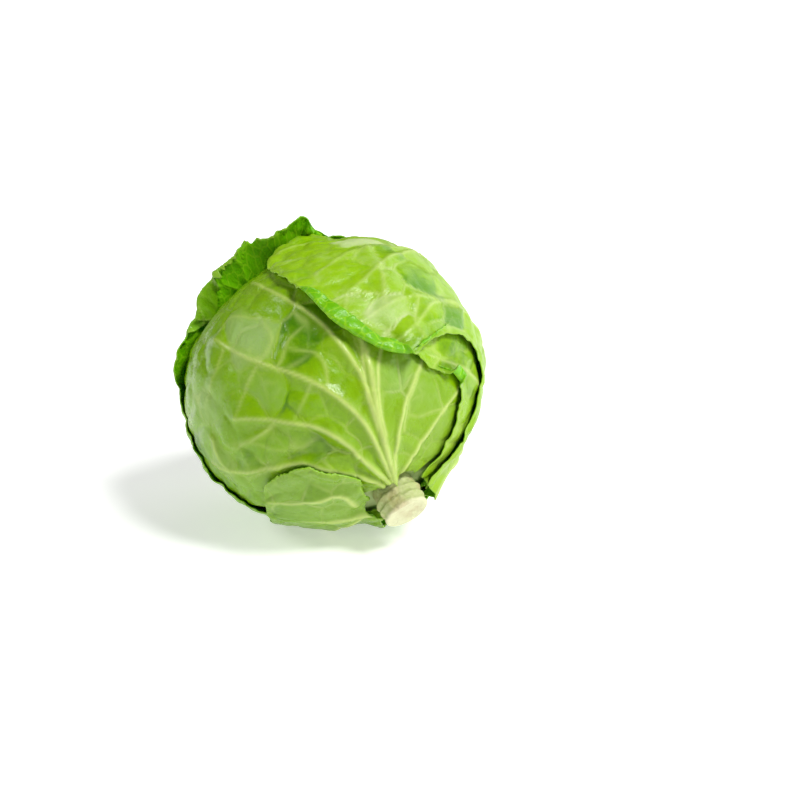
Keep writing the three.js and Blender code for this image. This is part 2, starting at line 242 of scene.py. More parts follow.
class LeafPlane:
    """The flattened plane of a leaf: lengths and bearings from its middle are kept true."""

    RADIUS = 85.0

    def __init__(self, turn: float, middle: float) -> None:
        """Places the plane on the head.

        Args:
            turn: Turn of the leaf's middle about the stem axis, in degrees.
            middle: Its angle from the stem, in degrees.
        """
        self.centre = AXES.direction((middle, turn))
        self.tipward = AXES.direction((middle + 90, turn))
        self.across = np.cross(self.tipward, self.centre)

    def flatten(self, ways: np.ndarray) -> np.ndarray:
        """Turns directions into points of the plane.

        Args:
            ways: Unit directions.
        Returns:
            Points in millimetres: across the leaf, and from stem to tip.
        """
        reach = self.RADIUS * np.arccos(np.clip(ways @ self.centre, -1, 1))
        flat = np.stack([ways @ self.across, ways @ self.tipward], -1)
        return unit(flat) * reach[..., None]

    def direction(self, points: np.ndarray) -> np.ndarray:
        """Turns points of the plane into directions.

        Args:
            points: Points in millimetres.
        Returns:
            Unit directions.
        """
        reach = np.linalg.norm(points, axis=-1, keepdims=True)
        sine = np.sin(reach / self.RADIUS) / np.maximum(reach, 1e-9)
        return (
            np.cos(reach / self.RADIUS) * self.centre
            + sine * points[..., 0:1] * self.across
            + sine * points[..., 1:2] * self.tipward
        )


class Spline:
    """Smooth curve through points of a plane, followed by its length."""

    SAMPLES = 3000

    def __init__(self, points: np.ndarray) -> None:
        """Samples the curve finely.

        Args:
            points: Points that the curve goes through.
        """
        spans = len(points) - 1
        place = np.linspace(0, spans, self.SAMPLES)
        span = np.minimum(place.astype(int), spans - 1)
        t = (place - span)[:, None]
        before, after = points[np.maximum(span - 1, 0)], points[np.minimum(span + 2, spans)]
        start, end = points[span], points[span + 1]
        leave, arrive = (end - before) / 2, (after - start) / 2
        self.line = (
            (2 * start - 2 * end + leave + arrive) * t**3
            + (3 * end - 3 * start - 2 * leave - arrive) * t**2
            + leave * t
            + start
        )
        steps = np.linalg.norm(np.diff(self.line, axis=0), axis=1)
        self.lengths = np.concatenate([[0.0], np.cumsum(steps)])
        self.length = self.lengths[-1]

    def point(self, share: np.ndarray) -> np.ndarray:
        """Points at shares of the curve's length.

        Args:
            share: Shares, 0 at the start and 1 at the end.
        Returns:
            Points on the last axis.
        """
        reach = np.asarray(share) * self.length
        return np.stack([np.interp(reach, self.lengths, self.line[:, k]) for k in (0, 1)], -1)

    def tangent(self, share: np.ndarray) -> np.ndarray:
        """Unit directions of travel at shares of the curve's length.

        Args:
            share: Shares, 0 at the start and 1 at the end.
        Returns:
            Unit vectors on the last axis.
        """
        share = np.asarray(share)
        step = 2e-3
        return unit(self.point(np.minimum(share + step, 1)) - self.point(np.maximum(share - step, 0)))


def along_edge(bumps: Sequence[Bump], place: np.ndarray) -> np.ndarray:
    """Sum of smooth bumps along a leaf's edge: size times e to the minus squared distance over spread.

    Args:
        bumps: For each bump, where it is, its spread and its size.
        place: Places along the edge, 0 to 1 up the left side and 1 to 2 down the right.
    Returns:
        The sum at each place.
    """
    total = np.zeros_like(np.asarray(place, float))
    for at, spread, size in bumps:
        total = total + size * np.exp(-(((place - at) / spread) ** 2))
    return total


@dataclass(frozen=True)
class Ridge:
    """A raised line on a leaf: a rib, a vein or, with a negative height, a crease."""

    points: Sequence[Pair]  # on the head, in degrees from the stem and of turn
    base: float = 2.4  # height at its start
    end: float = 0.7  # height at its end
    width: float = 3.0
    pale: float = 1.0  # how strongly it shows in the colour, as a pale line with a painted crest highlight


@dataclass(frozen=True)
class LeafForm:
    """Outline, ribs and margin of one wrapper leaf. Places are degrees from the stem and of turn."""

    name: str
    turn: float
    middle: float
    left: Sequence[Pair]
    right: Sequence[Pair]
    tip: Pair
    midrib: Sequence[Pair]
    ridges: Sequence[Ridge] = ()
    own_fan: Sequence[int] = (0, 1)
    thickness: float = 0.8
    crowding: float = 1.7
    fanning: float = 0.9
    flare: Sequence[Bump] = ()
    wave: Sequence[Bump] = ()
    ruffle: Sequence[Bump] = ()
    roll: Sequence[Bump] = ()  # turned out over the leaf, or with a negative size inwards
    notches: Sequence[Bump] = ()  # where the margin falls short, in mm
    blister: float = 0.7
    seed: int = 1
    tone_and_light_spots: Sequence[tuple[float, float, float, float]] = ()  # degrees, degrees, spread in mm, amount; some spots are painted highlight and painted shade
    rows: int = 210  # of the mesh, from base to tip
    half_columns: int = 96  # of the mesh, from midrib to margin band


@dataclass
class Place:
    """Where directions lie on one leaf."""

    inside: np.ndarray
    edge: np.ndarray
    point: np.ndarray


class WrapperLeaf:
    """A wrapper leaf, drawn in its flattened plane."""

    DRAPE_START = 6.0
    FLARE_REACH = 26.0
    WAVE_REACH = 16.0
    RUFFLE_REACH = 7.0
    WAVES_PER_SIDE = 7
    RUFFLES_PER_SIDE = 19
    MARGIN_BAND = 2.6
    ROLL_LENGTH = 9.5
    ROLL_ANGLE = math.radians(171)
    ROLL_BEND = 0.4
    FULL_ROLL = 0.5
    QUILT_SIZE = 21.0
    SMALL_QUILT_SIZE = 9.0
    THINNEST_LINE = 1.15
    RIB_FOOT = 2.8  # width of a rib's broad foot, over that of its crest
    HALO_REACH = 2.2  # width of the pale zone round a rib, over the rib's own
    DOME, DOME_SLOPE = 1.9, 4.5  # height of the domes, and how far from a wall they rise
    SMALL_DOME, SMALL_DOME_SLOPE = 0.4, 1.8
    HILL, HILL_SIZE = 1.1, 25
    SMALL_HILL, SMALL_HILL_SIZE = 0.45, 12
    WEB_WIDTH, SMALL_WEB_WIDTH = 0.9, 0.8
    TONE_SIZE = 22
    EVEN_TONE = 0.7  # how much of a cell's tone is that of its middle
    EVEN_TONE_REACH = 2.2  # how far inside its wall a cell's tone gets even
    FAN_PLACES = (0.3, 0.46, 0.62, 0.78)
    EDGE_STEPS = 110
    VEIN_STEPS = 14
    MIDRIB = Ridge((), 5.5, 1.2, 4.0)
    SIDE_VEIN = Ridge((), 2.3, 0.6, 3.0, 0.8)

    def __init__(self, form: LeafForm) -> None:
        """Draws the outline, the midrib and the veins.

        Args:
            form: The leaf's form.
        """
        self.form = form
        self.plane = LeafPlane(form.turn, form.middle)
        self.tip_point = self.flat([form.tip])[0]
        self.sides = [Spline(self.flat([*side, form.tip])) for side in (form.left, form.right)]
        self.rib = Spline(self.flat(form.midrib))
        shares = np.linspace(0, 1, self.EDGE_STEPS + 1)
        self.outline = np.concatenate(
            [self.sides[0].point(shares), self.sides[1].point(shares)[::-1][1:]]
        )
        self.hills = SmoothNoise(form.seed)
        self.quilt = Quilt(form.seed + 20, self.QUILT_SIZE)
        self.small_quilt = Quilt(form.seed + 40, self.SMALL_QUILT_SIZE)
        self.lines: list[tuple[np.ndarray, Ridge]] = [
            (self.rib.point(np.linspace(0, 1, self.VEIN_STEPS + 1)), self.MIDRIB)
        ]
        for ridge in form.ridges:
            curve = Spline(self.flat(ridge.points))
            self.lines.append((curve.point(np.linspace(0, 1, self.VEIN_STEPS + 1)), ridge))
        for side in form.own_fan:
            for place in self.FAN_PLACES:
                out = np.linspace(0, 0.94, self.VEIN_STEPS + 1)[None, :]
                line, _, _ = self.on_blade(side, np.array([[place]]), out)
                self.lines.append((line[0], self.SIDE_VEIN))

    def flat(self, places: Sequence[Pair]) -> np.ndarray:
        """Points of the plane for places on the head.

        Args:
            places: Degrees from the stem and of turn.
        Returns:
            Points in millimetres.
        """
        return self.plane.flatten(AXES.direction(np.asarray(places, float)))

    def on_blade(
        self, side: int, place: np.ndarray, out: np.ndarray
    ) -> tuple[np.ndarray, np.ndarray, np.ndarray]:
        """Points of the blade on the curves that side veins would take.

        Args:
            side: 0 for the left half, 1 for the right.
            place: 0 at the base and 1 at the tip, as a column.
            out: 0 on the midrib and 1 at the start of the margin band, as a row.
        Returns:
            The points, and for each place the way out of the leaf and the place along the edge.
        """
        start = self.rib.point(place[:, 0] ** self.form.crowding)
        grow = self.rib.tangent(place[:, 0] ** self.form.crowding)
        end, normal, edge = self.edge_at(side, place[:, 0])
        chord = end - start
        reach = 0.45 * np.linalg.norm(chord, axis=-1, keepdims=True)
        chord = unit(chord)
        leave = unit(0.7 * grow + (0.3 + place**8) * chord)
        arrive = unit(0.75 * chord + 0.25 * normal)
        corners = [start, start + leave * reach, end - arrive * reach, end]
        weights = [(1 - out) ** 3, 3 * out * (1 - out) ** 2, 3 * out**2 * (1 - out), out**3]
        points = sum(w[..., None] * c[:, None, :] for w, c in zip(weights, corners))
        return points, normal, edge

    def edge_at(self, side: int, place: np.ndarray) -> tuple[np.ndarray, np.ndarray, np.ndarray]:
        """Start of the margin band on one side.

        Args:
            side: 0 for the left half, 1 for the right.
            place: 0 at the base and 1 at the tip.
        Returns:
            The points, the ways out of the leaf there, and the places along the edge.
        """
        along = np.minimum(1, place**self.form.fanning)
        run = self.sides[side].tangent(along)
        normal = np.stack([-run[..., 1], run[..., 0]], -1) * (-1 if side else 1)
        tipward = unit(self.tip_point - self.rib.point(np.array(1.0)))
        blend = ease((place - 0.97) / 0.03)[..., None]
        normal = unit(normal * (1 - blend) + tipward * blend)
        edge = 2 - along if side else along
        return self.sides[side].point(along) - self.MARGIN_BAND * normal, normal, edge

    def place(self, ways: np.ndarray) -> Place:
        """Depth inside the outline, negative outside, and the place along the edge nearest to it.

        Args:
            ways: Unit directions, one per row.
        Returns:
            The places of the directions on this leaf.
        """
        point = self.plane.flatten(ways)
        count = len(point)
        nearest = np.full(count, np.inf)
        edge = np.zeros(count)
        crossings = np.zeros(count, bool)
        ends = np.roll(self.outline, -1, axis=0)
        for i, (a, b) in enumerate(zip(self.outline, ends)):
            run = b - a
            along = clamp01(((point - a) @ run) / max(run @ run, 1e-12))
            gap = np.linalg.norm(point - a - along[:, None] * run, axis=1)
            closer = gap < nearest
            nearest = np.where(closer, gap, nearest)
            edge = np.where(closer, (i + along) / self.EDGE_STEPS, edge)
            spans = (a[1] > point[:, 1]) != (b[1] > point[:, 1])
            level = np.where(spans, (point[:, 1] - a[1]) / (run[1] if run[1] else 1.0), 0.0)
            crossings ^= spans & (point[:, 0] < a[0] + run[0] * level)
        return Place(np.where(crossings, nearest, -nearest), np.minimum(edge, 2), point)

    def lift(self, place: Place, level: float) -> np.ndarray:
        """How far the margin stands off the head: a flare, and waves and ruffles that die away faster.

        Args:
            place: Places on this leaf.
            level: A leaf above feels the margin's full height for this far on both sides.
        Returns:
            Heights in millimetres.
        """
        past = np.sign(place.inside) * np.maximum(0, np.abs(place.inside) - level)

        def fade(reach: float) -> np.ndarray:
            return np.where(past > 0, clamp01(1 - past / reach) ** 2, np.exp(np.minimum(past, 0) / 3))

        swing = np.sin(2 * np.pi * self.WAVES_PER_SIDE * place.edge + self.form.turn)
        flutter = self.hills(place.edge * self.RUFFLES_PER_SIDE, place.edge * 0 + 7.3)
        return (
            along_edge(self.form.flare, place.edge) * fade(self.FLARE_REACH)
            + along_edge(self.form.wave, place.edge) * fade(self.WAVE_REACH) * swing
            + along_edge(self.form.ruffle, place.edge) * fade(self.RUFFLE_REACH) * flutter * (level == 0)
        )

    def relief(self, point: np.ndarray, spread: float) -> tuple[np.ndarray, np.ndarray, np.ndarray]:
        """Raised ribs and veins: the highest of them, and the deepest crease.

        Args:
            point: Points of the flattened leaf.
            spread: A leaf that lies over the veins feels them this many times wider.
        Returns:
            Heights in millimetres, and how strongly the veins and the pale zone round them show, 0 to 1; the
            vein line is made paler along the middle of each rib as a painted crest highlight.
        """
        height = np.zeros(len(point))
        crease = np.zeros(len(point))
        pale = np.zeros(len(point))
        halo = np.zeros(len(point))
        for line, ridge in self.lines:
            low = line.min(0) - 6 * ridge.width * spread
            high = line.max(0) + 6 * ridge.width * spread
            near = np.flatnonzero(((point > low) & (point < high)).all(1))
            local = point[near]
            for i in range(len(line) - 1):
                run = line[i + 1] - line[i]
                along = clamp01(((local - line[i]) @ run) / max(run @ run, 1e-12))
                gap = np.linalg.norm(local - line[i] - along[:, None] * run, axis=1)
                share = np.sqrt((i + along) / (len(line) - 1))
                crest = ridge.base + (ridge.end - ridge.base) * share
                narrow = spread * ridge.width
                foot = np.exp(-((gap / narrow / self.RIB_FOOT) ** 2))
                shape = 0.6 * np.exp(-((gap / narrow) ** 2)) + 0.4 * foot
                if ridge.base < 0:
                    crease[near] = np.minimum(crease[near], crest * shape)
                else:
                    height[near] = np.maximum(height[near], crest * shape)
                # The pale line: the vein's own paler colour, made paler still along the middle of each rib as
                # a painted crest highlight.
                line_width = np.maximum(ridge.width * (0.75 - 0.4 * share), self.THINNEST_LINE)
                paleness_and_highlight = ridge.pale * (0.45 + 1.3 * share * (1 - share)) * np.exp(-((gap / line_width) ** 2))
                pale[near] = np.maximum(pale[near], paleness_and_highlight)
                zone = np.exp(-((gap / (self.HALO_REACH * ridge.width)) ** 2))
                halo[near] = np.maximum(halo[near], ridge.pale * (1 - 0.75 * share) * zone)
        return height + crease, pale, halo

    def blisters(self, point: np.ndarray) -> tuple[np.ndarray, np.ndarray]:
        """Domes between the finer veins, on soft hills: a dome is 1 minus e to the minus wall distance.

        Args:
            point: Points of the flattened leaf.
        Returns:
            Heights in millimetres, and how strongly the finer veins show, 0 to 1.
        """
        x, y = point[:, 0], point[:, 1]
        wall, _ = self.quilt(point)
        small_wall, _ = self.small_quilt(point)
        height = self.form.blister * (
            self.DOME * (1 - np.exp(-wall / self.DOME_SLOPE))
            + self.SMALL_DOME * (1 - np.exp(-small_wall / self.SMALL_DOME_SLOPE))
            + self.HILL * self.hills(x / self.HILL_SIZE, y / self.HILL_SIZE)
            + self.SMALL_HILL * self.hills(x / self.SMALL_HILL_SIZE + 9, y / self.SMALL_HILL_SIZE)
        )
        fading = clamp01(0.55 + 0.9 * self.hills(x / 17 + 4, y / 17 + 2))
        small_fading = clamp01(self.hills(x / 13, y / 13 + 6) * 1.5)
        web = np.exp(-((wall / self.WEB_WIDTH) ** 2)) * fading
        small_web = 0.4 * np.exp(-((small_wall / self.SMALL_WEB_WIDTH) ** 2)) * small_fading
        return height, np.maximum(web, small_web)

    def tone(self, point: np.ndarray) -> np.ndarray:
        """Where the waxy coat is thick, above 0, or rubbed off, below 0; some of the listed spots are painted
        highlight and painted shade. Each cell has much the same tone.

        Args:
            point: Points of the flattened leaf.
        Returns:
            Amounts between about -1 and 1.
        """
        wall, middle = self.quilt(point)
        inside = self.EVEN_TONE * ease(wall / self.EVEN_TONE_REACH)[:, None]
        place = point * (1 - inside) + middle * inside
        x, y = place[:, 0], place[:, 1]
        total = 0.45 * self.hills(x / self.TONE_SIZE + 3, y / self.TONE_SIZE + 8)
        for from_stem, turn, spread, amount in self.form.tone_and_light_spots:
            gap = np.linalg.norm(place - self.flat([(from_stem, turn)])[0], axis=1)
            total = total + amount * np.exp(-((gap / spread) ** 2))
        return np.clip(total, -1, 1)


LEAF_FORMS: tuple[LeafForm, ...] = (
    LeafForm(
        name="front_leaf",
        turn=-20,
        middle=80,
        crowding=1.35,
        rows=150,
        half_columns=138,
        fanning=0.72,
        left=((12, -66), (24, -92), (42, -112), (64, -124), (88, -128), (112, -122), (132, -98), (145, -60)),
        right=((12, 28), (24, 52), (44, 66), (66, 74), (90, 78), (112, 72), (132, 50), (145, 16)),
        tip=(150, -22),
        midrib=((12, -26), (32, -24.5), (47, -22), (69, -17), (100, -16), (122, -18)),
        ridges=(
            Ridge(
                (
                    (14, -30), (29, -30), (44, -30.5), (58, -35.5), (69, -42), (83.5, -53), (94, -60),
                    (107, -67),
                ),
                base=4.6, end=1.6, width=2.8,
            ),
            Ridge(
                (
                    (14, -36), (34, -44), (42.5, -45.5), (50, -49), (56, -53.5), (61, -59), (68, -66),
                    (76, -76),
                ),
                base=5.0, end=1.8, width=3.0,
            ),
            Ridge(
                ((14, -46), (27, -57), (38, -65.5), (46.5, -70), (53, -81), (65, -97), (78, -108)),
                base=4.4, end=1.6, width=2.8,
            ),
            Ridge(
                ((36, -24), (47, -23.5), (61.5, -22.5), (73, -24.5), (87, -28), (108, -37), (126, -44)),
                base=3.6, end=1.2, width=2.6,
            ),
            Ridge(((14, -24), (24, -19), (33, -13), (43.5, -7), (54, 2), (70, 14), (92, 26)), 3.0, 0.9, 2.6),
            Ridge(((14, -14), (22, 4), (34, 18), (48, 32), (64, 46), (84, 56))),
            Ridge(((39, -25), (52, -24), (62, -21), (71, -17.5), (84, -12), (100, -4)), 1.4, 0.4, 1.8),
            Ridge(((36, -22), (46, -20.5), (56, -17), (64, -13), (80, 0)), 1.4, 0.4, 1.8),
            Ridge(((34, -8), (44.6, -3.7), (51.2, 1.4), (58, 6), (66, 12)), 1.0, 0.4, 1.8, 0.7),
            Ridge(
                ((62, -37.5), (70.4, -33.7), (76.1, -34.6), (79.8, -38.8), (83.7, -43.1)),
                base=0.7, end=0.5, width=1.6, pale=0.5,
            ),
            Ridge(
                ((74, -45), (78.4, -49.8), (80.6, -46.6), (83.7, -43.1), (85.9, -39.7), (87.9, -32.3)),
                base=0.7, end=0.4, width=1.6, pale=0.5,
            ),
            Ridge(
                ((80, -50.5), (84.6, -55.2), (85.9, -50.8), (90, -45.5), (95.9, -45.3), (103.4, -46.6)),
                base=0.7, end=0.4, width=1.6, pale=0.4,
            ),
            Ridge(((108, -67), (111.7, -59.2), (104.1, -49.8), (96.9, -42.6)), 0.7, 0.4, 1.6, 0.4),
            Ridge(((69, -42), (68.1, -40.7), (64.4, -47), (60.9, -55.4)), 0.6, 0.4, 1.6, 0.4),
            Ridge(((87, -55), (85.5, -53.4), (81.4, -62.9), (76.4, -74.3)), 0.7, 0.4, 1.6, 0.5),
            Ridge(((101, -63), (98.9, -65.6), (94, -75.5), (90.5, -84.4)), 0.7, 0.4, 1.6, 0.5),
            Ridge(((48.4, -64.8), (58.2, -73.9), (66.4, -78.9), (73.3, -89.1)), 0.8, 0.5, 1.8, 0.3),
            Ridge(((99.2, -102), (93.3, -92.7), (89.3, -86.2)), -1.6, -0.6, 2.0, 0.0),
            Ridge(((105.1, -76.2), (100.3, -76.3), (95.4, -77.2)), -0.8, -0.4, 1.8, 0.0),
            Ridge(((85.8, -87.9), (80, -90), (74, -93), (66, -92)), -2.4, -1.4, 2.6, 0.0),
            Ridge(
                ((37.3, -45.1), (42.4, -54.4), (48.8, -67.7), (53.6, -79), (57.5, -85.9)),
                base=-1.6, end=-2.2, width=2.4, pale=0.0,
            ),
            Ridge(((64.2, -64.5), (64.9, -72.4), (70.1, -87.9)), 1.2, 0.9, 2.2, 0.6),
            Ridge(((79.9, -93.8), (72.6, -99.3), (66.9, -99.4)), 1.6, 1.2, 2.2, 0.6),
        ),
        own_fan=(),
        seed=11,
        blister=0.75,
        # Tone spots: pale waxy patches, partly painted highlight, and deeper green patches; the dark spots
        # just below the top leaf's rolled margin are painted shade.
        tone_and_light_spots=(
            (96, -53, 12, 1.0), (107, -60, 9, 0.7), (76, -39.5, 8, -1.0), (78.6, -48.5, 6, -0.8),
            (90.5, -36, 9, -0.8), (66.7, -55.4, 9, -0.9), (59.4, -72, 8, -0.5), (91.6, -87, 12, 0.8),
            (77.5, -59, 8, 0.4), (53.4, -10, 5, 0.5), (64, -86, 9, -0.5), (47.5, -55.4, 8, -0.4),
            (83, -28, 8, -0.8), (89, -34.3, 10, -0.8), (73.5, -25.6, 7, 0.2), (99.3, -35.6, 9, -0.6),
            (65, -22, 7, -0.2), (52.5, -5.7, 9, 0.8), (58.7, -15, 6, 0.3), (85, -64.4, 10, 0.5),
        ),
    ),
    LeafForm(
        name="right_leaf",
        turn=80,
        middle=80,
        crowding=1.15,
        left=(
            (12, 46), (27, 42), (41, 37.5), (49.5, 32), (53.8, 24.5), (55.5, 16), (57.5, 8.5), (62, 3),
            (70, 2), (80, 3.8), (97, 7), (118, 17), (136, 38),
        ),
        right=((12, 114), (32, 126), (58, 142), (88, 150), (116, 146), (136, 126)),
        tip=(147, 80),
        midrib=((12, 80), (40, 79), (70, 78), (96, 79), (120, 80)),
        flare=((0.4, 0.1, 2.2),),
        wave=((0.42, 0.09, 1.1),),
        roll=((0.235, 0.02, 0.5),),
        seed=12,
        rows=180,
        half_columns=76,
    ),
    LeafForm(
        name="top_leaf",
        turn=66,
        middle=85,
        crowding=0.55,
        fanning=1.3,
        left=(
            (12, 50), (28, 56), (42, 57), (54, 54.5), (62, 50), (67, 42), (68.8, 32), (68.6, 22), (67, 13),
            (64.5, 5), (62.2, -2), (64.5, -9.5), (69, -15.5), (74, -19.5), (83, -24.7), (94, -27.5),
            (104, -28.8), (113, -31.3), (126, -33.5), (137, -28.6), (144, -14), (147, 6),
        ),
        right=((12, 108), (34, 134), (60, 148), (90, 149), (116, 139), (136, 110), (147, 74)),
        tip=(149, 34),
        midrib=((12, 82), (36, 97), (62, 103), (92, 99), (122, 72)),
        ridges=(
            Ridge(
                ((86, 100), (102, 70), (110.5, 38.8), (109.4, 31.9), (111, 18), (110.7, -2.2), (104, -20)),
                base=3.4, end=1.2, width=2.4, pale=0.6,
            ),
            Ridge(
                ((110.5, 38.8), (103.8, 13.5), (96.7, -0.8), (91.5, -13.2), (90.2, -19)),
                base=2.2, end=0.9, width=2.2, pale=0.6,
            ),
            Ridge(
                ((58, 102), (75, 66), (81.5, 33.9), (82.7, 19.8), (83, 5.9), (81.1, -4.6), (79, -14)),
                base=3.2, end=1.1, width=2.4, pale=0.6,
            ),
            Ridge(((81.5, 33.9), (80.6, 18.6), (74, 8), (69.8, -0.3), (68, -5)), 2.2, 0.9, 2.2, 0.6),
            Ridge(((86, -1), (91.1, -12.6), (85.2, -17.6), (84.2, -20.1)), 0.7, 0.4, 1.6, 0.6),
            Ridge(((99, 5), (97.7, 3.8), (89.6, 0.1), (82.3, -2.7)), 0.7, 0.4, 1.6, 0.6),
            Ridge(((83, 12), (81.5, 10.6), (73.8, 5.6), (67.1, 5.3)), 0.7, 0.4, 1.6, 0.6),
            Ridge(((73, -5), (70.1, -9.5), (64.2, -8.8)), 0.6, 0.4, 1.6, 0.6),
            Ridge(((133.6, -29), (135.5, -18.9), (137.7, -5.3), (129.9, -6.6)), 1.6, 1.0, 2.4, 0.4),
            Ridge(((120.8, -25.5), (120.3, -17.2), (121.7, -9.9)), -1.8, -0.8, 2.0, 0.0),
            Ridge(((119, -31), (112.7, -22.9), (111.5, -16.4), (110.9, -8)), -1.6, -0.5, 2.0, 0.0),
            Ridge(((140, -6), (128.1, -14), (123.6, -11.5)), -1.8, -1.0, 2.2, 0.0),
            Ridge(((127.8, -26.3), (122.4, -19.9), (113.8, -17.9), (110.5, -12.6)), -1.2, -0.5, 1.8, 0.0),
        ),
        own_fan=(1,),
        flare=((0.26, 0.05, 1.2), (0.45, 0.13, 2.8), (0.62, 0.1, 2.4), (0.9, 0.05, 6)),
        wave=((0.93, 0.09, 1.3), (0.4, 0.1, 0.8)),
        ruffle=((0.7, 0.08, 1.2), (0.38, 0.05, 0.8)),
        roll=((0.49, 0.055, 1), (0.4, 0.03, 0.7), (0.57, 0.035, 0.3)),
        seed=13,
        blister=0.9,
        # Tone spots: pale waxy patches, much of them painted highlight, and deeper green patches; the spots
        # at 112 and 120 degrees from the stem are painted highlight.
        tone_and_light_spots=(
            (103.5, -16, 6, 0.7), (89.5, -14.4, 8, 0.9), (81.7, -8.2, 8, 0.9), (84.9, 0.8, 8, 0.9),
            (120, 12, 13, 1.2), (112, 27, 9, 0.7), (75.6, 0.8, 8, 0.9), (71.8, -8.7, 6, 0.6),
            (103.3, -1.6, 7, -0.4), (88.2, 19.9, 7, -1.0),
            (81, 25.6, 7, -1.0), (76.4, 29.5, 7, -0.8), (122.9, -24.6, 7, 0.4), (114, 3, 5, -0.7),
            (107.7, 13.6, 7, -0.6), (62.8, -2.4, 6, -0.3), (61, 14, 6, -0.3), (73.9, 4.5, 6, 0.5),
            (85.1, -19.7, 5, -0.3), (97.8, -21.2, 6, 0.2),
        ),
    ),
    LeafForm(
        name="back_leaf",
        turn=160,
        middle=105,
        left=(
            (12, 134), (34, 118), (60, 116), (90, 108), (112, 92), (130, 66), (141, 38), (146.4, 20),
            (146, 11), (142.7, 4), (144, -5), (147, -17),
        ),
        right=(
            (12, 193), (34, 226), (62, 238), (84, 242), (97, 245), (108, 250), (118, 256.5), (130.3, 268),
            (140.5, 284), (147, 304),
        ),
        tip=(149, 325),
        midrib=((12, 164), (45, 169), (80, 168), (115, 163), (145, 164)),
        flare=(
            (0.42, 0.16, 1.2), (0.85, 0.025, 8), (0.9, 0.04, 6), (1, 0.055, 15.5), (1.08, 0.06, 12.8),
            (1.16, 0.055, 13.6), (1.24, 0.05, 6.2), (1.33, 0.05, 7.4),
        ),
        wave=((1.05, 0.16, 0.8), (1.34, 0.08, 1.4)),
        ruffle=((1.05, 0.12, 1.2), (1.28, 0.1, 2.2), (1.42, 0.08, 1.4)),
        roll=((1.188, 0.045, -1.6),),
        notches=((0.81, 0.05, 3.6), (0.997, 0.008, 2.2), (1.27, 0.012, 2.5), (1.375, 0.01, 2)),
        seed=14,
    ),
    LeafForm(
        name="under_leaf",
        turn=222,
        middle=44,
        thickness=1.3,
        left=(
            (13, 192), (24, 172), (33, 156), (42, 146), (60, 148), (73, 160), (78, 182), (71, 200), (59, 215),
            (51, 228),
        ),
        right=(
            (13, 272), (19, 290), (27, 303), (38.4, 294.4), (46.2, 289.3), (51.6, 274.2), (53, 266),
            (51, 255),
        ),
        tip=(51.5, 242),
        midrib=((12, 232), (20, 233), (30, 235), (38, 238)),
        ridges=(
            Ridge(((18, 262), (25.6, 277.5), (37.4, 263), (44, 258.5), (50, 258))),
            Ridge(((16, 226), (34, 205), (52, 190), (68, 184))),
        ),
        own_fan=(),
        flare=((1.18, 0.16, 2.2), (1.45, 0.12, 1.4), (0.16, 0.12, 1.1)),
        wave=((1.2, 0.14, 0.8),),
        ruffle=((1.3, 0.14, 1.0), (1.75, 0.1, 0.8)),
        seed=15,
        rows=150,
        half_columns=66,
        tone_and_light_spots=((46, -88, 7, 0.5), (36.7, -102, 6, -0.4), (37, -69, 6, 0.4)),
    ),
)


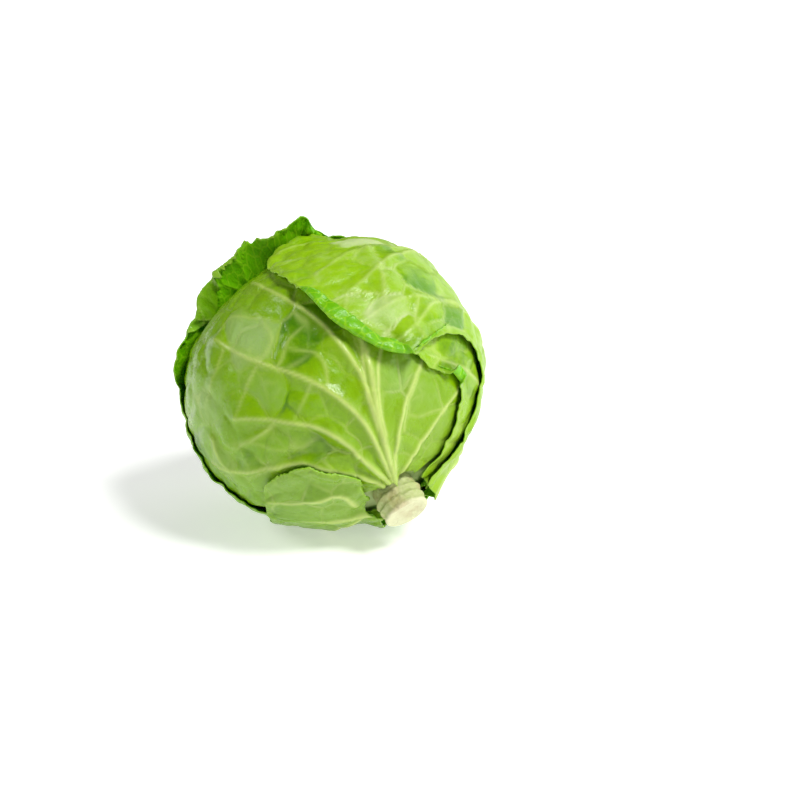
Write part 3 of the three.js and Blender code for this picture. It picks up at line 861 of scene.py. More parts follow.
@dataclass
class Head:
    """The whole head: the heart's radius, and each leaf's, built up layer by layer."""

    centre_height: float = 83.2
    heart_radius: float = 82.4
    pole_flattening: float = 5.5
    front_fullness: float = 1.8
    full_side: Pair = (70, -100)
    upper_hollow: float = 5.5
    hollow_side: Pair = (145, -58)
    spot_depth: float = 3.65
    layer_gap: float = 0.9
    drape: float = 12.0
    draped_spread: float = 2.2
    hiding_start: float = 2.0
    hiding_reach: float = 9.0
    deepest_dip: float = 0.7
    leaves: list[WrapperLeaf] = field(default_factory=lambda: [WrapperLeaf(f) for f in LEAF_FORMS])

    def heart(self, ways: np.ndarray) -> np.ndarray:
        """Radius of the heart: a ball, shorter along the stem axis, fuller at the front, cut flat below.

        The upper left is hollowed: its depth falls off with the eighth power of the cosine from its middle.

        Args:
            ways: Unit directions, one per row.
        Returns:
            Radii in millimetres.
        """
        along_stem = ways @ AXES.stem
        full = np.maximum(0, ways @ AXES.direction(self.full_side))
        hollow = self.upper_hollow * np.maximum(0, ways @ AXES.direction(self.hollow_side)) ** 8
        ball = self.heart_radius - self.pole_flattening * along_stem**2
        ball = ball + self.front_fullness * full**3 - hollow
        floor = (self.centre_height - self.spot_depth) / np.maximum(-ways[:, 2], 1e-3)
        return np.where(ways[:, 2] < 0, np.minimum(ball, floor), ball)

    def leaf_radius(self, index: int, ways: np.ndarray) -> tuple[np.ndarray, dict[str, np.ndarray]]:
        """Radius of one leaf's outer face: the heart's, and every lower leaf's thickness and relief.

        Args:
            index: Which leaf, counted from the innermost.
            ways: Unit directions, one per row.
        Returns:
            Radii in millimetres, and the leaf's masks: vein, with a painted crest highlight; halo; web; tone,
            with spots of painted highlight and painted shade; rim, partly a painted highlight; and hidden.
        """
        places = [leaf.place(ways) for leaf in self.leaves]
        radius = self.heart(ways) + self.layer_gap
        masks: dict[str, np.ndarray] = {}
        for i, leaf in enumerate(self.leaves[: index + 1]):
            own = i == index
            spread = 1.0 if own else self.draped_spread
            above = np.max([p.inside for p in places[i + 1 :]] + [np.zeros(len(ways))], axis=0)
            hidden = ease((above - self.hiding_start) / self.hiding_reach)
            shown = clamp01(1 + places[i].inside / 3)
            height, pale, halo = leaf.relief(places[i].point, spread)
            domes, web = leaf.blisters(places[i].point)
            detail = shallow(height + domes, self.deepest_dip) * shown * (1 - hidden)
            raised = leaf.lift(places[i], 0.0 if own else leaf.DRAPE_START) + detail
            if own:
                radius = radius + leaf.form.thickness + raised
                # The vein mask carries the pale veins and their painted crest highlight.
                masks["vein"] = pale
                masks["halo"] = halo
                masks["web"] = web
                # The tone mask carries waxy and deeper green spots, with painted highlight and painted shade
                # among them.
                masks["tone"] = leaf.tone(places[i].point)
                # Rim mask: paler colour along the margin, partly its own yellow-green and partly a painted
                # highlight where the edge catches light.
                masks["rim"] = np.exp(-np.maximum(places[i].inside, 0) / 1.2)
                masks["hidden"] = hidden
            else:
                cover = ease(1 + (places[i].inside + leaf.DRAPE_START) / self.drape)
                radius = radius + cover * (leaf.form.thickness + self.layer_gap) + raised
        return radius, masks

    def on_head(self, ways: np.ndarray, radius: np.ndarray) -> np.ndarray:
        """Points at radii from the head's centre, kept at or above the floor.

        Args:
            ways: Unit directions, one per row.
            radius: Radii in millimetres.
        Returns:
            Points in millimetres.
        """
        points = ways * radius[:, None] + np.array([0, 0, self.centre_height])
        points[:, 2] = np.maximum(points[:, 2], 0)
        return points


def new_mesh(
    name: str,
    points: np.ndarray,
    triangles: np.ndarray,
    material: bpy.types.Material,
    flat_places: Optional[np.ndarray] = None,
    masks: Optional[dict[str, np.ndarray]] = None,
) -> bpy.types.Object:
    """Makes a smooth-shaded mesh object from arrays.

    Args:
        name: Name of the object.
        points: Vertices in millimetres.
        triangles: Vertex numbers, three per row.
        material: The finish.
        flat_places: A place in a plane for each vertex, kept as the UV map.
        masks: Values for each vertex, kept as attributes.
    Returns:
        The object, linked to the scene.
    """
    mesh = bpy.data.meshes.new(name)
    mesh.from_pydata(points * METRES, [], triangles)
    mesh.polygons.foreach_set("use_smooth", np.ones(len(mesh.polygons), bool))
    if flat_places is not None:
        corners = np.empty(len(mesh.loops), np.int32)
        mesh.loops.foreach_get("vertex_index", corners)
        layer = mesh.uv_layers.new(name="blade")
        layer.data.foreach_set("uv", flat_places[corners].astype(np.float32).ravel())
    for key, values in (masks or {}).items():
        attribute = mesh.attributes.new(key, "FLOAT", "POINT")
        attribute.data.foreach_set("value", values.astype(np.float32))
    mesh.materials.append(material)
    mesh.validate()
    mesh.update()
    piece = bpy.data.objects.new(name, mesh)
    bpy.context.scene.collection.objects.link(piece)
    return piece


def vertex_normals(points: np.ndarray, triangles: np.ndarray) -> np.ndarray:
    """Unit normals of the vertices: the sum of the normals of the triangles round each.

    Args:
        points: Vertices.
        triangles: Vertex numbers, three per row.
    Returns:
        Unit normals, one per vertex.
    """
    a, b, c = (points[triangles[:, k]] for k in range(3))
    faces = np.cross(b - a, c - a)
    total = np.zeros_like(points)
    for k in range(3):
        np.add.at(total, triangles[:, k], faces)
    return unit(total)


@dataclass
class LeafMesh:
    """The mesh of one wrapper leaf: an outer face, an inner face and a rounded rim."""

    head: Head
    index: int
    band_columns: int = 12

    def build(self, material: bpy.types.Material) -> bpy.types.Object:
        """Makes the leaf.

        Args:
            material: The leaf's finish.
        Returns:
            The leaf's object.
        """
        leaf = self.head.leaves[self.index]
        flat, rise, numbers = self.grid(leaf)
        ways = leaf.plane.direction(flat)
        radius, masks = self.head.leaf_radius(self.index, ways)
        outer = self.head.on_head(ways, radius + rise)
        triangles = self.split(outer, numbers)
        normals = vertex_normals(outer, triangles)
        inner = outer - normals * leaf.form.thickness
        points, faces, source = self.close(outer, inner, normals, triangles, leaf.form.thickness)
        masks["base"] = ease((ways @ AXES.stem - 0.42) / 0.5)
        values = {key: mask[source] for key, mask in masks.items()}
        values["inner"] = np.concatenate(
            [np.zeros(len(outer)), np.ones(len(inner)), np.full(len(points) - 2 * len(outer), 0.5)]
        )
        piece = new_mesh(leaf.form.name + "_blade", points, faces, material, flat[source] / 100, values)
        log.info("%s: %d triangles", piece.name, len(faces))
        return piece

    def grid(self, leaf: WrapperLeaf) -> tuple[np.ndarray, np.ndarray, np.ndarray]:
        """Lays a grid over the leaf, from its left margin over the midrib to its right margin.

        Args:
            leaf: The leaf.
        Returns:
            Points of the plane, how far each is turned up off the blade, and the vertex numbers by row.
        """
        place = (np.linspace(0, 1, leaf.form.rows + 1) ** (1 / leaf.form.fanning))[:, None]
        halves, rises = [], []
        for side in (0, 1):
            out = np.linspace(0, 1, leaf.form.half_columns + 1)[None, :]
            blade, normal, edge = leaf.on_blade(side, place, out)
            band, rise = self.band(leaf, blade[:, -1], normal, edge)
            halves.append(np.concatenate([blade, band], 1))
            rises.append(np.concatenate([np.zeros(blade.shape[:2]), rise], 1))
        flat = np.concatenate([halves[0][:, ::-1], halves[1][:, 1:]], 1)
        rise = np.concatenate([rises[0][:, ::-1], rises[1][:, 1:]], 1)
        numbers = np.arange(flat.shape[0] * flat.shape[1]).reshape(flat.shape[:2])
        middle = flat.shape[1] // 2
        numbers[-1, middle + 1 :] = numbers[-1, :middle][::-1]
        used, compact = np.unique(numbers, return_inverse=True)
        return flat.reshape(-1, 2)[used], rise.ravel()[used], compact.reshape(numbers.shape)

    def band(
        self, leaf: WrapperLeaf, start: np.ndarray, normal: np.ndarray, edge: np.ndarray
    ) -> tuple[np.ndarray, np.ndarray]:
        """The margin band: straight on where the leaf is flat, turned back over itself where it is rolled.

        Args:
            leaf: The leaf.
            start: Where the band starts, for each row.
            normal: The way out of the leaf, for each row.
            edge: The place along the edge, for each row.
        Returns:
            Points of the plane and heights off the blade, by row and column.
        """
        turned_over = along_edge(leaf.form.roll, edge)[:, None]
        rolled = np.minimum(np.abs(turned_over), 1.3)
        fray = 0.5 * leaf.hills(edge * 90, edge * 0) + 0.35 * leaf.hills(edge * 210, edge * 0 + 3)
        share = np.linspace(0, 1, self.band_columns + 1)[1:][None, :]
        full = leaf.MARGIN_BAND + leaf.ROLL_LENGTH * rolled + fray[:, None] * (1 + rolled)
        full = np.maximum(full - along_edge(leaf.form.notches, edge)[:, None], 0.3)
        length = full * share
        bend = leaf.ROLL_BEND * full
        angle = leaf.ROLL_ANGLE * ease(rolled / leaf.FULL_ROLL)
        curved = np.minimum(length, bend)
        straight = length - curved
        turned = angle * curved / bend
        tight = np.maximum(angle, 1e-6)
        out = bend / tight * np.sin(turned) + straight * np.cos(turned)
        rise = bend / tight * (1 - np.cos(turned)) + straight * np.sin(turned)
        out = np.where(angle > 1e-4, out, length)
        rise = np.where(angle > 1e-4, rise, 0) * np.sign(turned_over)
        return start[:, None] + normal[:, None] * out[..., None], rise

    def split(self, points: np.ndarray, numbers: np.ndarray) -> np.ndarray:
        """Splits the grid's cells into triangles along their shorter diagonals.

        Args:
            points: Vertices.
            numbers: Vertex numbers by row and column.
        Returns:
            Triangles, turned outwards.
        """
        a, b = numbers[:-1, :-1].ravel(), numbers[:-1, 1:].ravel()
        c, d = numbers[1:, 1:].ravel(), numbers[1:, :-1].ravel()
        first = np.linalg.norm(points[a] - points[c], axis=1) < np.linalg.norm(points[b] - points[d], axis=1)
        one = np.where(first[:, None], np.stack([a, b, c], 1), np.stack([a, b, d], 1))
        two = np.where(first[:, None], np.stack([a, c, d], 1), np.stack([b, c, d], 1))
        triangles = np.concatenate([one, two])
        alike = (
            (triangles[:, 0] == triangles[:, 1])
            | (triangles[:, 1] == triangles[:, 2])
            | (triangles[:, 0] == triangles[:, 2])
        )
        return triangles[~alike]

    def close(
        self,
        outer: np.ndarray,
        inner: np.ndarray,
        normals: np.ndarray,
        triangles: np.ndarray,
        thickness: float,
    ) -> tuple[np.ndarray, np.ndarray, np.ndarray]:
        """Joins both faces with a rim that is rounded by one extra line of vertices.

        Args:
            outer: Outer vertices.
            inner: Inner vertices.
            normals: Outer normals.
            triangles: Outer triangles.
            thickness: Thickness of the leaf.
        Returns:
            All vertices, all triangles, and for each vertex the outer vertex that it belongs to.
        """
        count = len(outer)
        directed = np.concatenate([triangles[:, [0, 1]], triangles[:, [1, 2]], triangles[:, [2, 0]]])
        keys = directed[:, 0] * count + directed[:, 1]
        back = directed[:, 1] * count + directed[:, 0]
        rim = directed[~np.isin(keys, back)]
        start, end = rim[:, 0], rim[:, 1]
        outward = np.zeros_like(outer)
        across = np.cross(outer[end] - outer[start], normals[start])
        np.add.at(outward, start, across)
        np.add.at(outward, end, across)
        ring = np.unique(rim)
        middle = (outer[ring] + inner[ring]) / 2 + unit(outward[ring]) * thickness * 0.45
        where = np.zeros(count, int)
        where[ring] = 2 * count + np.arange(len(ring))
        m, n = where[start], where[end]
        bands = [
            np.stack([end, start, m], 1),
            np.stack([end, m, n], 1),
            np.stack([n, m, start + count], 1),
            np.stack([n, start + count, end + count], 1),
        ]
        faces = np.concatenate([triangles, triangles[:, ::-1] + count, *bands])
        points = np.concatenate([outer, inner, middle])
        source = np.concatenate([np.arange(count), np.arange(count), ring])
        return points, faces, source


class Graph:
    """Short names for making the nodes of one material."""

    def __init__(self, name: str) -> None:
        """Makes an empty material with an output and one surface shader.

        Args:
            name: Name of the material.
        """
        self.material = bpy.data.materials.new(name)
        self.material.use_nodes = True
        self.nodes = self.material.node_tree.nodes
        self.links = self.material.node_tree.links
        self.nodes.clear()
        self.output = self.nodes.new("ShaderNodeOutputMaterial")
        self.shader = self.nodes.new("ShaderNodeBsdfPrincipled")
        self.links.new(self.shader.outputs["BSDF"], self.output.inputs["Surface"])

    def put(self, socket: bpy.types.NodeSocket, value: object) -> None:
        """Links or sets an input.

        Args:
            socket: The input.
            value: Another node's output, or a plain value.
        """
        if isinstance(value, bpy.types.NodeSocket):
            self.links.new(value, socket)
        else:
            socket.default_value = value

    def attribute(self, name: str) -> bpy.types.NodeSocket:
        """Value of a mesh attribute.

        Args:
            name: The attribute's name.
        Returns:
            The value.
        """
        node = self.nodes.new("ShaderNodeAttribute")
        node.attribute_name = name
        return node.outputs["Fac"]

    def blade(self) -> bpy.types.NodeSocket:
        """Place on the flattened leaf, in tenths of a metre.

        Returns:
            The place as a vector.
        """
        node = self.nodes.new("ShaderNodeUVMap")
        node.uv_map = "blade"
        return node.outputs["UV"]

    def math(self, operation: str, *values: object) -> bpy.types.NodeSocket:
        """Arithmetic on values.

        Args:
            operation: Blender's name of the operation.
            values: Sockets or numbers.
        Returns:
            The result.
        """
        node = self.nodes.new("ShaderNodeMath")
        node.operation = operation
        for socket, value in zip(node.inputs, values):
            self.put(socket, value)
        return node.outputs[0]

    def span(
        self, value: object, low: float, high: float, bottom: float = 0, top: float = 1
    ) -> bpy.types.NodeSocket:
        """Maps a span of values smoothly onto another.

        Args:
            value: The socket.
            low: Value that gives bottom.
            high: Value that gives top.
            bottom: Result at and below low.
            top: Result at and above high.
        Returns:
            The mapped value.
        """
        node = self.nodes.new("ShaderNodeMapRange")
        node.interpolation_type = "SMOOTHSTEP"
        keys = ("Value", "From Min", "From Max", "To Min", "To Max")
        for key, number in zip(keys, (value, low, high, bottom, top)):
            self.put(node.inputs[key], number)
        return node.outputs["Result"]

    def blend(self, share: object, first: object, second: object) -> bpy.types.NodeSocket:
        """Mixes two colours.

        Args:
            share: 0 for the first, 1 for the second.
            first: Socket or colour.
            second: Socket or colour.
        Returns:
            The mixed colour.
        """
        node = self.nodes.new("ShaderNodeMix")
        node.data_type = "RGBA"
        node.clamp_factor = True
        self.put(node.inputs["Factor"], share)
        for socket, value in ((node.inputs[6], first), (node.inputs[7], second)):
            self.put(socket, value if isinstance(value, bpy.types.NodeSocket) else (*value, 1.0))
        return node.outputs[2]

    def noise(self, vector: object, scale: float, detail: float = 2.0) -> bpy.types.NodeSocket:
        """Smooth noise.

        Args:
            vector: Where it is looked up.
            scale: Hills per unit.
            detail: How many finer layers it has.
        Returns:
            Values round 0.5.
        """
        node = self.nodes.new("ShaderNodeTexNoise")
        self.put(node.inputs["Vector"], vector)
        node.inputs["Scale"].default_value = scale
        node.inputs["Detail"].default_value = detail
        return node.outputs["Fac"]

    def warped(self, vector: object, scale: float, amount: float) -> bpy.types.NodeSocket:
        """Moves places about by noise, so that a net drawn there looks grown.

        Args:
            vector: The places.
            scale: Hills of the noise per unit.
            amount: How far they move.
        Returns:
            The moved places.
        """
        noise = self.nodes.new("ShaderNodeTexNoise")
        self.put(noise.inputs["Vector"], vector)
        noise.inputs["Scale"].default_value = scale
        node = self.nodes.new("ShaderNodeVectorMath")
        node.operation = "MULTIPLY_ADD"
        self.put(node.inputs[0], noise.outputs["Color"])
        node.inputs[1].default_value = (amount, amount, amount)
        self.put(node.inputs[2], vector)
        return node.outputs[0]

    def cells(self, vector: object, scale: float) -> bpy.types.NodeSocket:
        """Distance to the nearest wall of small cells.

        Args:
            vector: Where it is looked up.
            scale: Cells per unit.
        Returns:
            The distance.
        """
        node = self.nodes.new("ShaderNodeTexVoronoi")
        node.voronoi_dimensions = "2D"
        node.feature = "DISTANCE_TO_EDGE"
        self.put(node.inputs["Vector"], vector)
        node.inputs["Scale"].default_value = scale
        return node.outputs["Distance"]

    def bump(
        self, height: object, distance: float, under: Optional[bpy.types.NodeSocket] = None
    ) -> bpy.types.NodeSocket:
        """Small relief.

        Args:
            height: Heights between 0 and 1.
            distance: What a height of 1 stands for, in metres.
            under: Normal of a coarser relief below it.
        Returns:
            The normal.
        """
        node = self.nodes.new("ShaderNodeBump")
        node.inputs["Distance"].default_value = distance
        self.put(node.inputs["Height"], height)
        if under is not None:
            self.put(node.inputs["Normal"], under)
        return node.outputs["Normal"]


def linear(red: int, green: int, blue: int) -> tuple[float, float, float]:
    """Linear colour from the usual 0 to 255 values.

    Args:
        red: Red.
        green: Green.
        blue: Blue.
    Returns:
        Linear red, green and blue.
    """

    def one(value: int) -> float:
        share = value / 255
        return share / 12.92 if share <= 0.04045 else ((share + 0.055) / 1.055) ** 2.4

    return one(red), one(green), one(blue)


@dataclass(frozen=True)
class LeafFinish:
    """Waxy leaf: a pale waxy coat over green, lime towards the stem and the ribs, with a net of pale veins.
    Painted light is mixed in: painted highlight in the pale waxy spots and along the rib crests, painted
    shade in some deep green spots, a partly painted highlight along the margin, and painted light through the
    leaf in the lightened inner face.
    """

    name: str
    green: tuple[int, int, int] = (120, 166, 0)
    # Deep green of bare patches, also the painted shade below the top leaf's rolled margin.
    deep_and_shade: tuple[int, int, int] = (66, 118, 0)
    # Pale waxy colour, partly a painted highlight.
    bloom_and_highlight: tuple[int, int, int] = (146, 178, 96)
    base: tuple[int, int, int] = (136, 170, 4)
    # Whitish vein colour: pale veins, and the painted highlight on rib crests.
    vein: tuple[int, int, int] = (198, 214, 124)
    # Inner face green: the leaf's own saturated inner green, lightened as painted light shining through the
    # leaf.
    inner: tuple[int, int, int] = (108, 184, 0)
    inner_vein: tuple[int, int, int] = (152, 208, 30)
    # Margin colour: the edge's own yellow-green, partly a painted highlight.
    rim: tuple[int, int, int] = (150, 190, 60)
    bloom_and_highlight_amount: float = 0.75
    net_amount: float = 0.32
    roughness: float = 0.31

    def build(self) -> bpy.types.Material:
        """Makes the material.

        Returns:
            The material.
        """
        g = Graph(self.name)
        blade = g.blade()
        small_wall = g.cells(g.warped(blade, 9.0, 0.04), 13.0)
        mottle = g.noise(blade, 16.0, 4.0)
        web = g.attribute("web")
        # Tone: waxy and deeper green patches, with painted highlight and painted shade spots among them.
        patch_and_light = g.math("ADD", g.attribute("tone"), g.math("MULTIPLY", g.math("SUBTRACT", mottle, 0.5), 0.7))
        # Share of the pale waxy colour, which also paints the highlight spots.
        bloom_and_highlight_share = g.math("MULTIPLY", g.span(patch_and_light, -0.05, 0.9), self.bloom_and_highlight_amount)
        # Deeper green where the tone is low, partly painted shade.
        colour = g.blend(g.span(patch_and_light, -0.7, 0.0), linear(*self.deep_and_shade), linear(*self.green))
        colour = g.blend(bloom_and_highlight_share, colour, linear(*self.bloom_and_highlight))
        limed = g.math("MAXIMUM", g.math("MULTIPLY", g.attribute("base"), 0.5), g.attribute("halo"))
        colour = g.blend(g.math("MULTIPLY", limed, 0.85), colour, linear(*self.base))
        # Pale veins, with the painted crest highlight along the ribs.
        vein = g.attribute("vein")
        lines = g.math("MAXIMUM", vein, g.math("MULTIPLY", web, self.net_amount))
        outer = g.blend(lines, colour, linear(*self.vein))
        net = g.math("MAXIMUM", lines, g.math("MULTIPLY", g.span(small_wall, 0.0, 0.12, 1, 0), 0.6))
        # Inner face, its green lightened as painted light through the leaf.
        inside = g.blend(net, linear(*self.inner), linear(*self.inner_vein))
        both = g.blend(g.attribute("inner"), outer, inside)
        # Paler margin: partly painted highlight where the edge catches light.
        final = g.blend(g.math("MULTIPLY", g.attribute("rim"), 0.45), both, linear(*self.rim))
        g.put(g.shader.inputs["Base Color"], final)
        matt = g.span(bloom_and_highlight_share, 0, 0.6, self.roughness - 0.04, self.roughness + 0.16)
        g.put(g.shader.inputs["Roughness"], matt)
        g.shader.inputs["Specular IOR Level"].default_value = 0.3
        g.shader.inputs["Subsurface Weight"].default_value = 0.1
        g.shader.inputs["Subsurface Radius"].default_value = (0.6, 1.0, 0.1)
        g.shader.inputs["Subsurface Scale"].default_value = 0.002
        coarse = g.bump(g.math("ADD", g.math("MULTIPLY", web, 0.7), mottle), 0.0005)
        g.put(g.shader.inputs["Normal"], g.bump(g.noise(blade, 70.0, 3.0), 0.00014, coarse))
        return g.material


@dataclass(frozen=True)
class HeartFinish:
    """Pale, smooth inner leaves."""

    name: str = "packed_heart"
    pale: tuple[int, int, int] = (190, 208, 140)
    green: tuple[int, int, int] = (160, 190, 90)

    def build(self) -> bpy.types.Material:
        """Makes the material.

        Returns:
            The material.
        """
        g = Graph(self.name)
        node = g.nodes.new("ShaderNodeTexCoord")
        place = node.outputs["Object"]
        tone = g.span(g.noise(place, 28.0, 4.0), 0.35, 0.65)
        streak = g.span(g.noise(place, 140.0, 2.0), 0.3, 0.7)
        colour = g.blend(tone, linear(*self.green), linear(*self.pale))
        streaked = g.blend(g.math("MULTIPLY", streak, 0.25), colour, linear(*self.pale))
        g.put(g.shader.inputs["Base Color"], streaked)
        g.shader.inputs["Roughness"].default_value = 0.45
        g.put(g.shader.inputs["Normal"], g.bump(streak, 0.0003))
        return g.material


@dataclass(frozen=True)
class StemFinish:
    """Cut stump: pale flesh, darker and greener towards its skin, with dry brown stains and pale grain."""

    name: str = "cut_stem"
    flesh: tuple[int, int, int] = (222, 222, 180)
    skin: tuple[int, int, int] = (176, 188, 116)
    dry: tuple[int, int, int] = (176, 150, 96)

    def build(self) -> bpy.types.Material:
        """Makes the material.

        Returns:
            The material.
        """
        g = Graph(self.name)
        node = g.nodes.new("ShaderNodeTexCoord")
        place = node.outputs["Object"]
        grain = g.span(g.noise(place, 420.0, 5.0), 0.3, 0.7)
        stain = g.span(g.noise(place, 90.0, 3.0), 0.45, 0.7)
        colour = g.blend(g.attribute("skin"), linear(*self.flesh), linear(*self.skin))
        colour = g.blend(g.math("MULTIPLY", stain, 0.45), colour, linear(*self.dry))
        colour = g.blend(g.math("MULTIPLY", grain, 0.25), colour, linear(*self.flesh))
        g.put(g.shader.inputs["Base Color"], colour)
        g.shader.inputs["Roughness"].default_value = 0.6
        g.put(g.shader.inputs["Normal"], g.bump(grain, 0.0004))
        return g.material


@dataclass
class Heart:
    """The dense inner head, with the edges of its outermost leaves as low spiral steps."""

    head: Head
    rings: int = 100
    turns: int = 180
    step: float = 0.8
    stem_seat: float = 74.6

    def build(self, material: bpy.types.Material) -> bpy.types.Object:
        """Makes the heart.

        Args:
            material: Its finish.
        Returns:
            The heart's object.
        """
        from_stem = np.linspace(0, 180, self.rings + 1)[1:-1]
        turn = np.arange(self.turns) * 360 / self.turns
        grid = np.stack(np.meshgrid(from_stem, turn, indexing="ij"), -1).reshape(-1, 2)
        places = np.concatenate([grid, [[0.0, 0.0], [180.0, 0.0]]])
        ways = AXES.direction(places)
        spiral = np.mod(places[:, 1] / 120 + places[:, 0] / 150 + 9, 1)
        profile = ease(spiral * 2) * ease((1 - spiral) * 9)
        step = self.step * (profile * ease(np.sin(np.radians(places[:, 0])) * 2) - 1)
        face = self.stem_seat / np.maximum(ways @ AXES.stem, 0.2)
        points = self.head.on_head(ways, np.minimum(self.head.heart(ways) + step, face))
        first, second = len(grid), len(grid) + 1
        numbers = np.arange(len(grid)).reshape(len(from_stem), self.turns)
        following = np.roll(numbers, -1, axis=1)
        a, b = numbers[:-1].ravel(), following[:-1].ravel()
        c, d = following[1:].ravel(), numbers[1:].ravel()
        base = np.stack([following[0], numbers[0], np.full(self.turns, first)], 1)
        top = np.stack([numbers[-1], following[-1], np.full(self.turns, second)], 1)
        triangles = np.concatenate([np.stack([a, b, c], 1), np.stack([a, c, d], 1), base, top])
        middle = points.mean(0)
        corner = points[triangles]
        across = np.cross(corner[:, 1] - corner[:, 0], corner[:, 2] - corner[:, 0])
        facing = np.einsum("ij,ij->i", across, corner[:, 0] - middle)
        if facing.mean() < 0:
            triangles = triangles[:, ::-1]
        return new_mesh("packed_heart", points, triangles, material)


@dataclass
class Stem:
    """The cut stump: a turned profile about the stem axis, with rings left by shed leaf bases."""

    head: Head
    radius: float = 14.2
    seat: float = 74.6
    tip: float = 94.0
    clearance: float = 0.4
    turns: int = 120
    seed: int = 5

    def build(self, material: bpy.types.Material) -> bpy.types.Object:
        """Makes the stump.

        Args:
            material: Its finish.
        Returns:
            The stump's object.
        """
        length = self.tip - self.seat - self.clearance
        r = self.radius
        profile = np.array(
            [
                (r - 1.6, 0), (r - 1.2, length * 0.3), (r, length * 0.42), (r - 1.1, length * 0.56),
                (r - 0.2, length * 0.68), (r - 1, length * 0.82), (r - 0.6, length * 0.94), (r - 2, length),
                (r * 0.45, length - 0.9), (0.4, length - 1.3),
            ]
        )
        share = np.linspace(0, 1, 90)
        line = Spline(profile).point(share)
        angle = np.arange(self.turns) * 2 * np.pi / self.turns
        hills = SmoothNoise(self.seed)
        rough = 0.35 * hills(np.cos(angle)[None, :] * 3 + 8, np.sin(angle)[None, :] * 3 + line[:, 1:2] / 3)
        reach = np.maximum(line[:, 0:1] - 0.3 + rough * ease(line[:, 0:1] / r), 0.1)
        saw_marks = 0.25 * hills(reach * np.cos(angle) / 3, reach * np.sin(angle) / 3)
        height = line[:, 1:2] + saw_marks * (share > 0.6)[:, None]
        rings = (
            AXES.stem * height[..., None]
            + AXES.up * (reach * np.cos(angle))[..., None]
            + AXES.side * (reach * np.sin(angle))[..., None]
        )
        points = rings.reshape(-1, 3) + AXES.stem * (self.seat + self.clearance)
        ends = np.stack([AXES.stem * (self.seat + self.clearance), AXES.stem * (self.tip - 1.3)])
        points = np.concatenate([points, ends]) + np.array([0, 0, self.head.centre_height])
        numbers = np.arange(len(line) * self.turns).reshape(len(line), self.turns)
        following = np.roll(numbers, -1, axis=1)
        a, b = numbers[:-1].ravel(), following[:-1].ravel()
        c, d = following[1:].ravel(), numbers[1:].ravel()
        low = np.stack([following[0], numbers[0], np.full(self.turns, len(points) - 2)], 1)
        high = np.stack([numbers[-1], following[-1], np.full(self.turns, len(points) - 1)], 1)
        triangles = np.concatenate([np.stack([a, b, c], 1), np.stack([a, c, d], 1), low, high])
        corner = points[triangles]
        facing = np.einsum(
            "ij,ij->i",
            np.cross(corner[:, 1] - corner[:, 0], corner[:, 2] - corner[:, 0]),
            corner[:, 0] - points.mean(0),
        )
        if facing.mean() < 0:
            triangles = triangles[:, ::-1]
        skin = np.concatenate([np.repeat(ease((0.62 - share) / 0.12), self.turns), [1.0, 0.0]])
        return new_mesh("cut_stump", points, triangles, material, masks={"skin": skin})


class Softbox(Enum):
    """The studio's lamps: where each stands in millimetres, its width, and its strength in watts."""

    LEFT = ((-1050, -120, 840), 420, 5.0)
    RIGHT = ((1170, -450, 400), 520, 2.6)
    RIM = ((820, 820, 640), 900, 4.5)


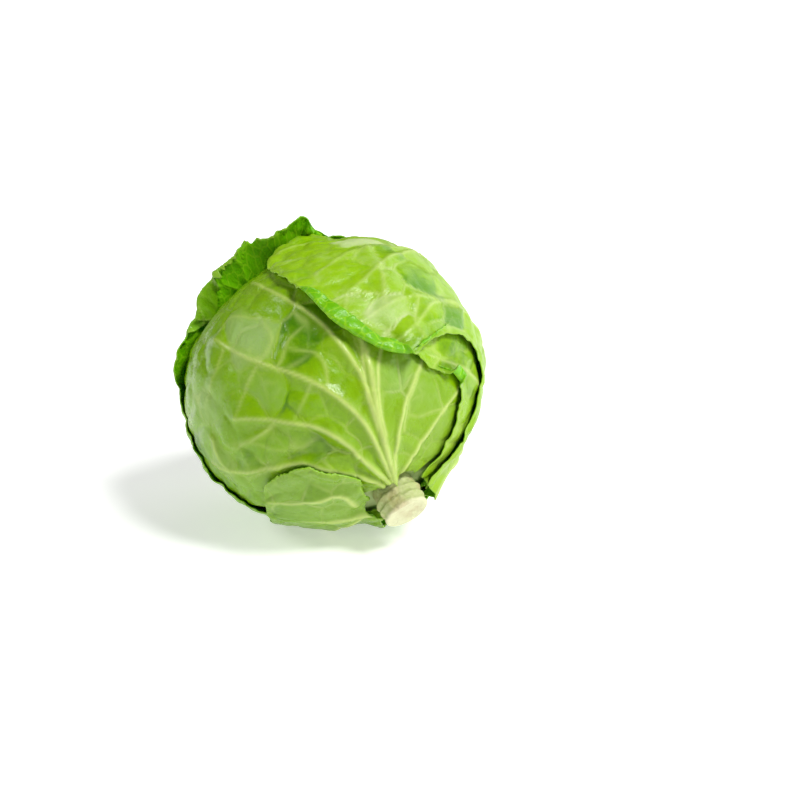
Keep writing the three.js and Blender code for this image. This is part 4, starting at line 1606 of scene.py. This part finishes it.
@dataclass
class Studio:
    """Pale floor, soft lamps and the camera at the photograph's viewing angle."""

    head: Head
    elevation: float = 20.0
    lens: float = 85.0
    sensor: float = 36.0
    distance: float = 1096.0
    pixels: int = 800
    head_pixel: Pair = (332.0, 383.0)
    floor_size: float = 16.0
    floor_glow: float = 0.4
    sky: float = 0.1
    key_way: tuple[float, float, float] = (0.5, -0.34, 0.8)  # where the soft main light comes from
    key_strength: float = 3.0
    key_spread: float = 20.0  # degrees across

    def build(self) -> None:
        """Makes the floor, the lamps, the sky and the camera."""
        self.floor()
        self.lamps()
        self.camera()

    def floor(self) -> None:
        """Makes the floor."""
        half = self.floor_size / 2 / METRES
        corners = np.array([(-half, -half, 0), (half, -half, 0), (half, half, 0), (-half, half, 0)])
        g = Graph("studio_floor")
        grain = g.span(g.noise(g.nodes.new("ShaderNodeTexCoord").outputs["Object"], 3.0), 0.3, 0.7, 0.9, 0.92)
        colour = g.nodes.new("ShaderNodeCombineColor")
        for channel in colour.inputs:
            g.put(channel, grain)
        g.put(g.shader.inputs["Base Color"], colour.outputs[0])
        g.shader.inputs["Roughness"].default_value = 0.9
        g.shader.inputs["Specular IOR Level"].default_value = 0.1
        g.shader.inputs["Emission Color"].default_value = (1, 1, 1, 1)
        g.shader.inputs["Emission Strength"].default_value = self.floor_glow
        faces = np.array([(0, 1, 2), (0, 2, 3)])
        floor = new_mesh("studio_floor", corners - np.array([0, 0, 0.05]), faces, g.material)
        floor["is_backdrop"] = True

    def lamps(self) -> None:
        """Makes the soft lamps and the even sky."""
        world = bpy.data.worlds.new("studio_sky")
        world.use_nodes = True
        background = world.node_tree.nodes["Background"]
        background.inputs["Color"].default_value = (1, 1, 1, 1)
        background.inputs["Strength"].default_value = self.sky
        bpy.context.scene.world = world
        target = np.array([0, 0, self.head.centre_height])
        key = bpy.data.lights.new("soft_key", "SUN")
        key.energy = self.key_strength
        key.angle = math.radians(self.key_spread)
        self.hang(key, target + 1000 * np.array(self.key_way), target)
        for box in Softbox:
            place, size, watts = box.value
            data = bpy.data.lights.new("softbox_" + box.name.lower(), "AREA")
            data.shape = "SQUARE"
            data.size = size * METRES
            data.energy = watts
            self.hang(data, np.array(place, float), target)

    def hang(self, data: bpy.types.Light, place: np.ndarray, target: np.ndarray) -> None:
        """Puts a lamp in its place, turned to the head.

        Args:
            data: The lamp.
            place: Where it hangs, in millimetres.
            target: What it points at, in millimetres.
        """
        lamp = bpy.data.objects.new(data.name, data)
        back = unit(place - target)
        right = unit(np.cross([0, 0, 1], back))
        turn = np.stack([right, np.cross(back, right), back], 1)
        lamp.matrix_world = Matrix.Translation(place * METRES) @ Matrix(turn.tolist()).to_4x4()
        bpy.context.scene.collection.objects.link(lamp)

    def camera(self) -> None:
        """Makes the camera, aimed beside the head so that it stands where the photograph has it."""
        tilt = math.radians(self.elevation)
        right = np.array([1.0, 0, 0])
        up = np.array([0, math.sin(tilt), math.cos(tilt)])
        back = np.array([0, -math.cos(tilt), math.sin(tilt)])
        focal = self.lens * self.pixels / self.sensor
        across = (self.head_pixel[0] - self.pixels / 2) / focal * self.distance
        above = (self.pixels / 2 - self.head_pixel[1]) / focal * self.distance
        centre = np.array([0, 0, self.head.centre_height])
        place = centre - across * right - above * up + self.distance * back
        data = bpy.data.cameras.new("photo_camera")
        data.lens = self.lens
        data.sensor_width = self.sensor
        data.clip_start = 0.05
        camera = bpy.data.objects.new("photo_camera", data)
        turn = np.stack([right, up, back], 1)
        camera.matrix_world = Matrix.Translation(place * METRES) @ Matrix(turn.tolist()).to_4x4()
        bpy.context.scene.collection.objects.link(camera)
        bpy.context.scene.camera = camera
        bpy.context.scene.view_settings.view_transform = "Standard"


FINISHES: dict[str, LeafFinish] = {
    "front_leaf": LeafFinish("waxy_front_leaf"),
    "right_leaf": LeafFinish("waxy_right_leaf", green=(140, 186, 24), bloom_and_highlight=(182, 208, 110)),
    "top_leaf": LeafFinish(
        "waxy_top_leaf",
        green=(142, 188, 6),
        deep_and_shade=(92, 148, 0),
        # Near-white waxy colour, lightened as a painted highlight on the top leaf.
        bloom_and_highlight=(202, 218, 160),
        vein=(206, 224, 140),
        # Lightened inner green: partly painted light through the leaf.
        inner=(104, 176, 0),
        inner_vein=(150, 204, 20),
        roughness=0.38,
    ),
    "back_leaf": LeafFinish("waxy_back_leaf", green=(108, 162, 10)),
    "under_leaf": LeafFinish("waxy_under_leaf", green=(112, 154, 24), base=(130, 168, 30)),
}


def kept_box() -> list[list[float]]:
    """Box of the whole object.

    Returns:
        Its lowest and highest corners, as plain lists of metres.
    """
    return [[float(x) for x in corner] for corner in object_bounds()]


def main(packed_box: list[list[float]]) -> None:
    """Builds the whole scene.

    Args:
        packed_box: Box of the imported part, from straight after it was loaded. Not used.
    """
    logging.basicConfig(level=logging.INFO, format="%(message)s")
    head = Head()
    studio = Studio(head)
    studio.build()
    for index, leaf in enumerate(head.leaves):
        piece = LeafMesh(head, index).build(FINISHES[leaf.form.name].build())
        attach(piece, "root")
        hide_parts(leaf.form.name)
    heart = Heart(head).build(HeartFinish().build())
    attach(heart, "root")
    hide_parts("heart")
    stump = Stem(head).build(StemFinish().build())
    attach(stump, "root")
    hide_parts("stem")


if __name__ == "__main__":
    main(kept_box())
